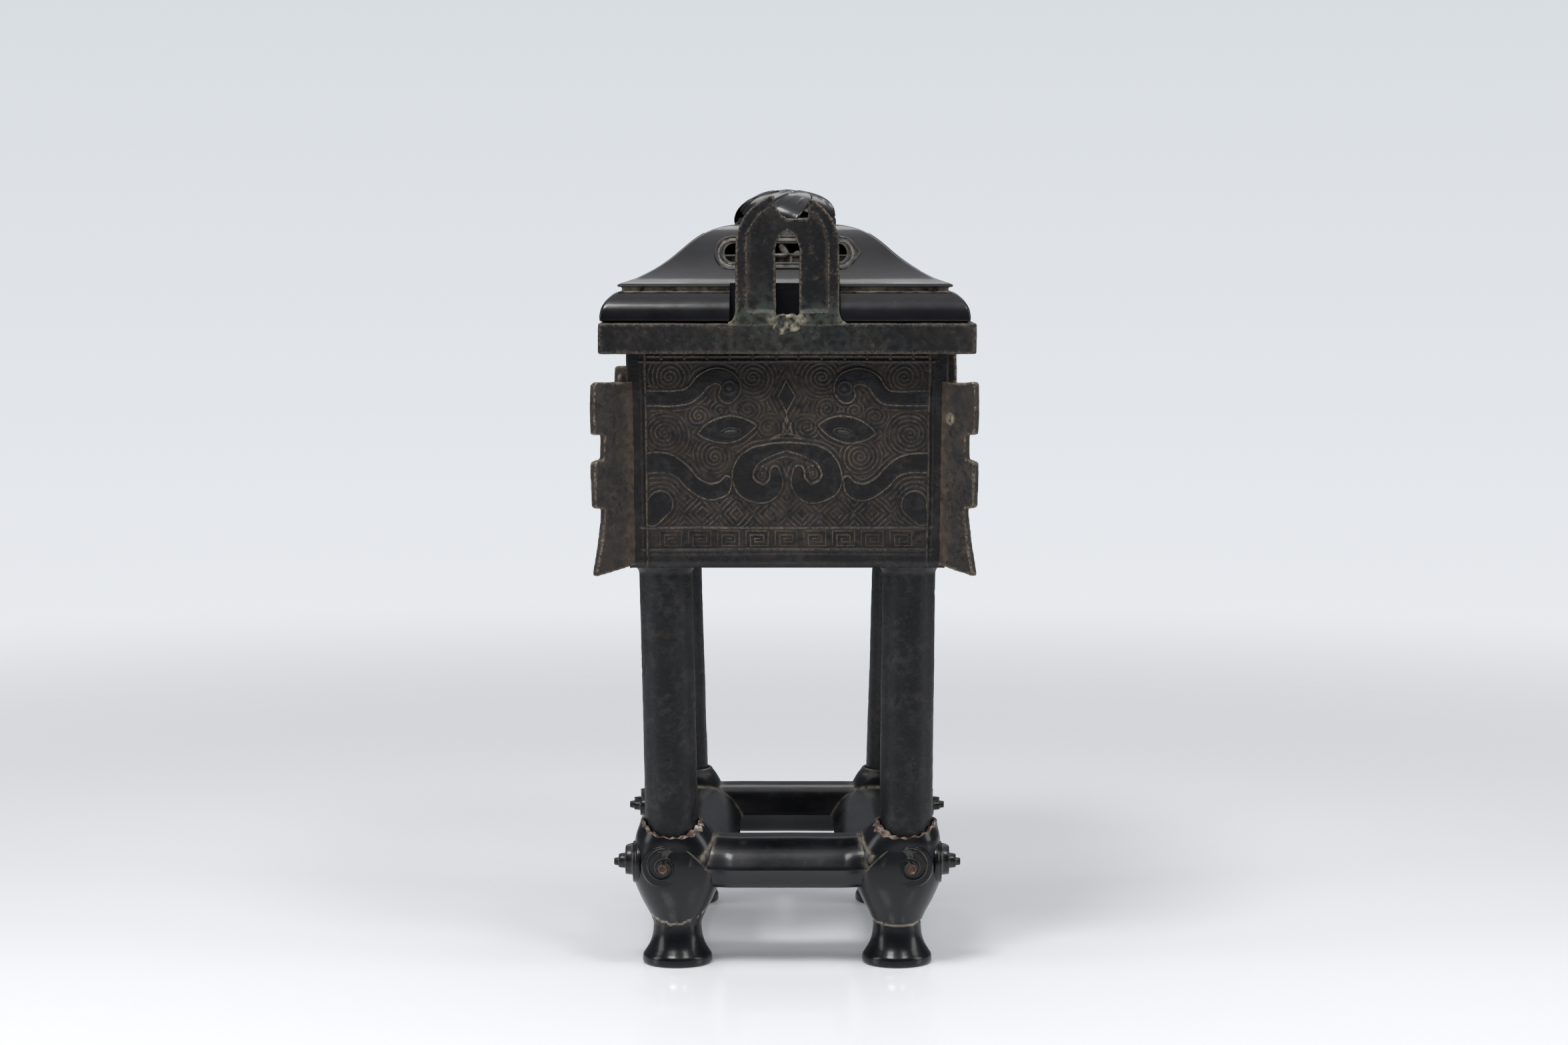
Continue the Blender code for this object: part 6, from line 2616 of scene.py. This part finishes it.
    def build_rail(self, side: Side) -> None:
        """One rail, mitred on its inner half, running into the feet on its outer half.

        Args:
            side: which rail.
        """
        outer, inner_short, inner_long = self.rail_outer, self.rail_inner_short, self.rail_inner_long
        short = ((outer - inner_short) / 2 + self.foot_y, (outer + inner_short) / 2)
        long = ((outer - inner_long) / 2 + self.foot_x, (outer + inner_long) / 2)
        (crown, half), (cross_crown, cross_half) = (short, long) if side.is_short else (long, short)
        foot_along = (self.foot_x if side.is_short else self.foot_y) - 9.0
        section = self.rail_section()
        ends = np.where(section[:, 0] <= 0, cross_crown + section[:, 0] * cross_half - self.seam, foot_along)
        ends = np.where((section[:, 0] > 0) & (section[:, 0] < 0.25), foot_along + 6, ends)
        rings = []
        for share in np.linspace(-1, 1, 61):
            along = share * ends
            near = step_between(np.abs(along), foot_along - 10, foot_along - 1)
            out = crown + section[:, 0] * half - 2.4 * near * np.maximum(section[:, 0], 0)
            rings.append(side.across * along[:, None] + side.out * out[:, None] + UP * section[:, 1:])
        rail = loft(f"rail_{side.label}", np.array(rings))
        grain = Grain(Seed.RAILS + side.value[0] + 2 * side.value[1])
        points = read_points(rail)
        rise = grain.rough(points * np.array([0.5, 0.5, 1.0]), 7.0) * 0.10
        push_out(rail, rise)
        along = np.abs(points @ side.across)
        share = (points @ side.out - crown) / half
        mitre = np.where(share <= 0.0, cross_crown + share * cross_half, foot_along + 9)
        seam = hump(mitre - along, 0.55) * (share < 0.1) * (points[:, 2] > self.rail_bottom + 2)
        body, power, _ = self.section_at(points[:, 2])
        local = np.abs(points[:, :2]) - np.array([self.foot_x, self.foot_y])
        gap = (np.abs(local[:, 0]) ** power + np.abs(local[:, 1]) ** power) ** (1 / power) - body
        joint = hump(gap, 0.7) * (points[:, 2] > 33) * 0.6
        film = step_between(grain.rough(points, 3.0), 0.1, 0.8) * 0.06 * (points[:, 2] > 36)
        paint(rail, "dust", np.maximum(seam, joint) * (0.7 + 0.5 * grain.rough(points, 2.5)) + film)
        self.finish(rail, f"stand_rail_{side.label}", 30)


# Studio


@dataclass
class Studio:
    """The pale table, the soft lights and the camera."""

    LIGHTS = (
        ("top", (0.0, 0.05, 1.25), 0.12, (1.7, 1.5), 6.5),
        ("key_right", (0.42, -0.60, 1.0), 0.16, (0.25, 0.25), 3.0),
        ("key", (-0.30, -0.62, 1.05), 0.16, (0.35, 0.30), 8.0),
        ("left", (-1.25, -0.35, 0.55), 0.15, (0.45, 0.9), 5.0),
        ("right", (1.25, -0.30, 0.55), 0.15, (0.45, 0.9), 5.0),
        ("back", (0.0, 1.25, 1.15), 0.06, (1.6, 0.5), 5.0)
    )

    focal: float = 76.53
    sensor: float = 36.0
    camera_place: tuple[float, float, float] = (-0.0011, -1.177, 0.24227)
    pitch: float = 4.676
    near: float = 0.05
    far: float = 20.0
    room: float = 0.13
    room_colour: Colour = (0.86, 0.91, 1.0)
    low_colour: Colour = (0.86, 0.87, 0.90)
    high_colour: Colour = (0.66, 0.70, 0.735)
    horizon: tuple[float, float] = (0.40, 0.56)
    table_half: float = 1600.0
    table_z: float = -0.05

    def build(self) -> None:
        """Builds the floor, the lights, the world and the camera."""
        self.build_floor()
        self.build_world()
        for name, place, aim_z, size, power in self.LIGHTS:
            self.build_light(name, place, (0.0, 0.0, aim_z), size, power)
        self.build_camera()
        scene = bpy.context.scene
        scene.view_settings.view_transform = "Standard"
        scene.view_settings.look = "None"

    def build_floor(self) -> None:
        """The glossy table top."""
        square = np.array([(-1, -1), (1, -1), (1, 1), (-1, 1)]) * self.table_half
        floor = new_piece("table", level_ring(square, self.table_z), [[0, 1, 2, 3]])
        floor.data.materials.append(FloorFinish().material())

    def build_world(self) -> None:
        """The background: pale where it is seen, dimmer where it only lights the object."""
        world = bpy.data.worlds.new("studio")
        world.use_nodes = True
        tree = world.node_tree
        tree.nodes.clear()
        seen = tree.nodes.new("ShaderNodeBackground")
        lit = tree.nodes.new("ShaderNodeBackground")
        lit.inputs["Strength"].default_value = self.room
        coords = tree.nodes.new("ShaderNodeTexCoord")
        split = tree.nodes.new("ShaderNodeSeparateXYZ")
        ramp = tree.nodes.new("ShaderNodeValToRGB")
        stops = zip(ramp.color_ramp.elements, self.horizon, (self.low_colour, self.high_colour))
        for stop, position, colour in stops:
            stop.position = position
            stop.color = (*colour, 1)
        lift = tree.nodes.new("ShaderNodeMath")
        lift.operation = "MULTIPLY_ADD"
        lift.inputs[1].default_value = 0.5
        lift.inputs[2].default_value = 0.5
        lit.inputs["Color"].default_value = (*self.room_colour, 1)
        path = tree.nodes.new("ShaderNodeLightPath")
        mix = tree.nodes.new("ShaderNodeMixShader")
        out = tree.nodes.new("ShaderNodeOutputWorld")
        for source, socket in (
            (coords.outputs["Generated"], split.inputs[0]), (split.outputs["Z"], lift.inputs[0]),
            (lift.outputs[0], ramp.inputs[0]), (ramp.outputs[0], seen.inputs["Color"]),
            (path.outputs["Is Camera Ray"], mix.inputs[0]), (lit.outputs[0], mix.inputs[1]),
            (seen.outputs[0], mix.inputs[2]), (mix.outputs[0], out.inputs[0])
        ):
            tree.links.new(source, socket)
        bpy.context.scene.world = world

    def build_light(
        self, name: str, place: tuple[float, float, float], aim: tuple[float, float, float],
        size: tuple[float, float], power: float
    ) -> None:
        """One soft rectangular light.

        Args:
            name: its name.
            place: where it hangs, in metres.
            aim: the point that it faces.
            size: its width and height.
            power: its power in watts.
        """
        light = bpy.data.lights.new(name, "AREA")
        light.shape = "RECTANGLE"
        light.size, light.size_y = size
        light.energy = power
        obj = to_scene(name, light)
        obj.location = place
        obj.rotation_mode = "QUATERNION"
        obj.rotation_quaternion = (Vector(place) - Vector(aim)).to_track_quat("Z", "Y")

    def build_camera(self) -> None:
        """The camera at the photograph's place and angle."""
        data = bpy.data.cameras.new("camera")
        data.lens = self.focal
        data.sensor_width = self.sensor
        data.clip_start = self.near
        data.clip_end = self.far
        camera = to_scene("camera", data)
        camera.location = self.camera_place
        camera.rotation_euler = (math.radians(90 - self.pitch), 0.0, 0.0)
        bpy.context.scene.camera = camera


def main() -> None:
    """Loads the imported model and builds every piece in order."""
    logging.basicConfig(level=logging.INFO, format="%(name)s %(message)s")
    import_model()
    beads, rows, wheels = bead_tree(), row_tree(), wheel_tree()
    bronze = BronzeFinish().material()
    lid_wood = WoodFinish("lid_black_wood", gloss=0.22, sheen=0.3).material()
    stand_wood = WoodFinish(
        "stand_black_wood", dark=(0.0022, 0.0026, 0.0036), light=(0.0062, 0.0066, 0.0086), sheen=0.25
    ).material()
    ding = Ding(bronze, rows)
    ding.build()
    Lid(lid_wood, beads).build()
    Finial(lid_wood, wheels).build()
    Stand(stand_wood, beads, ding).build()
    Studio().build()


if __name__ == "__main__":
    main()
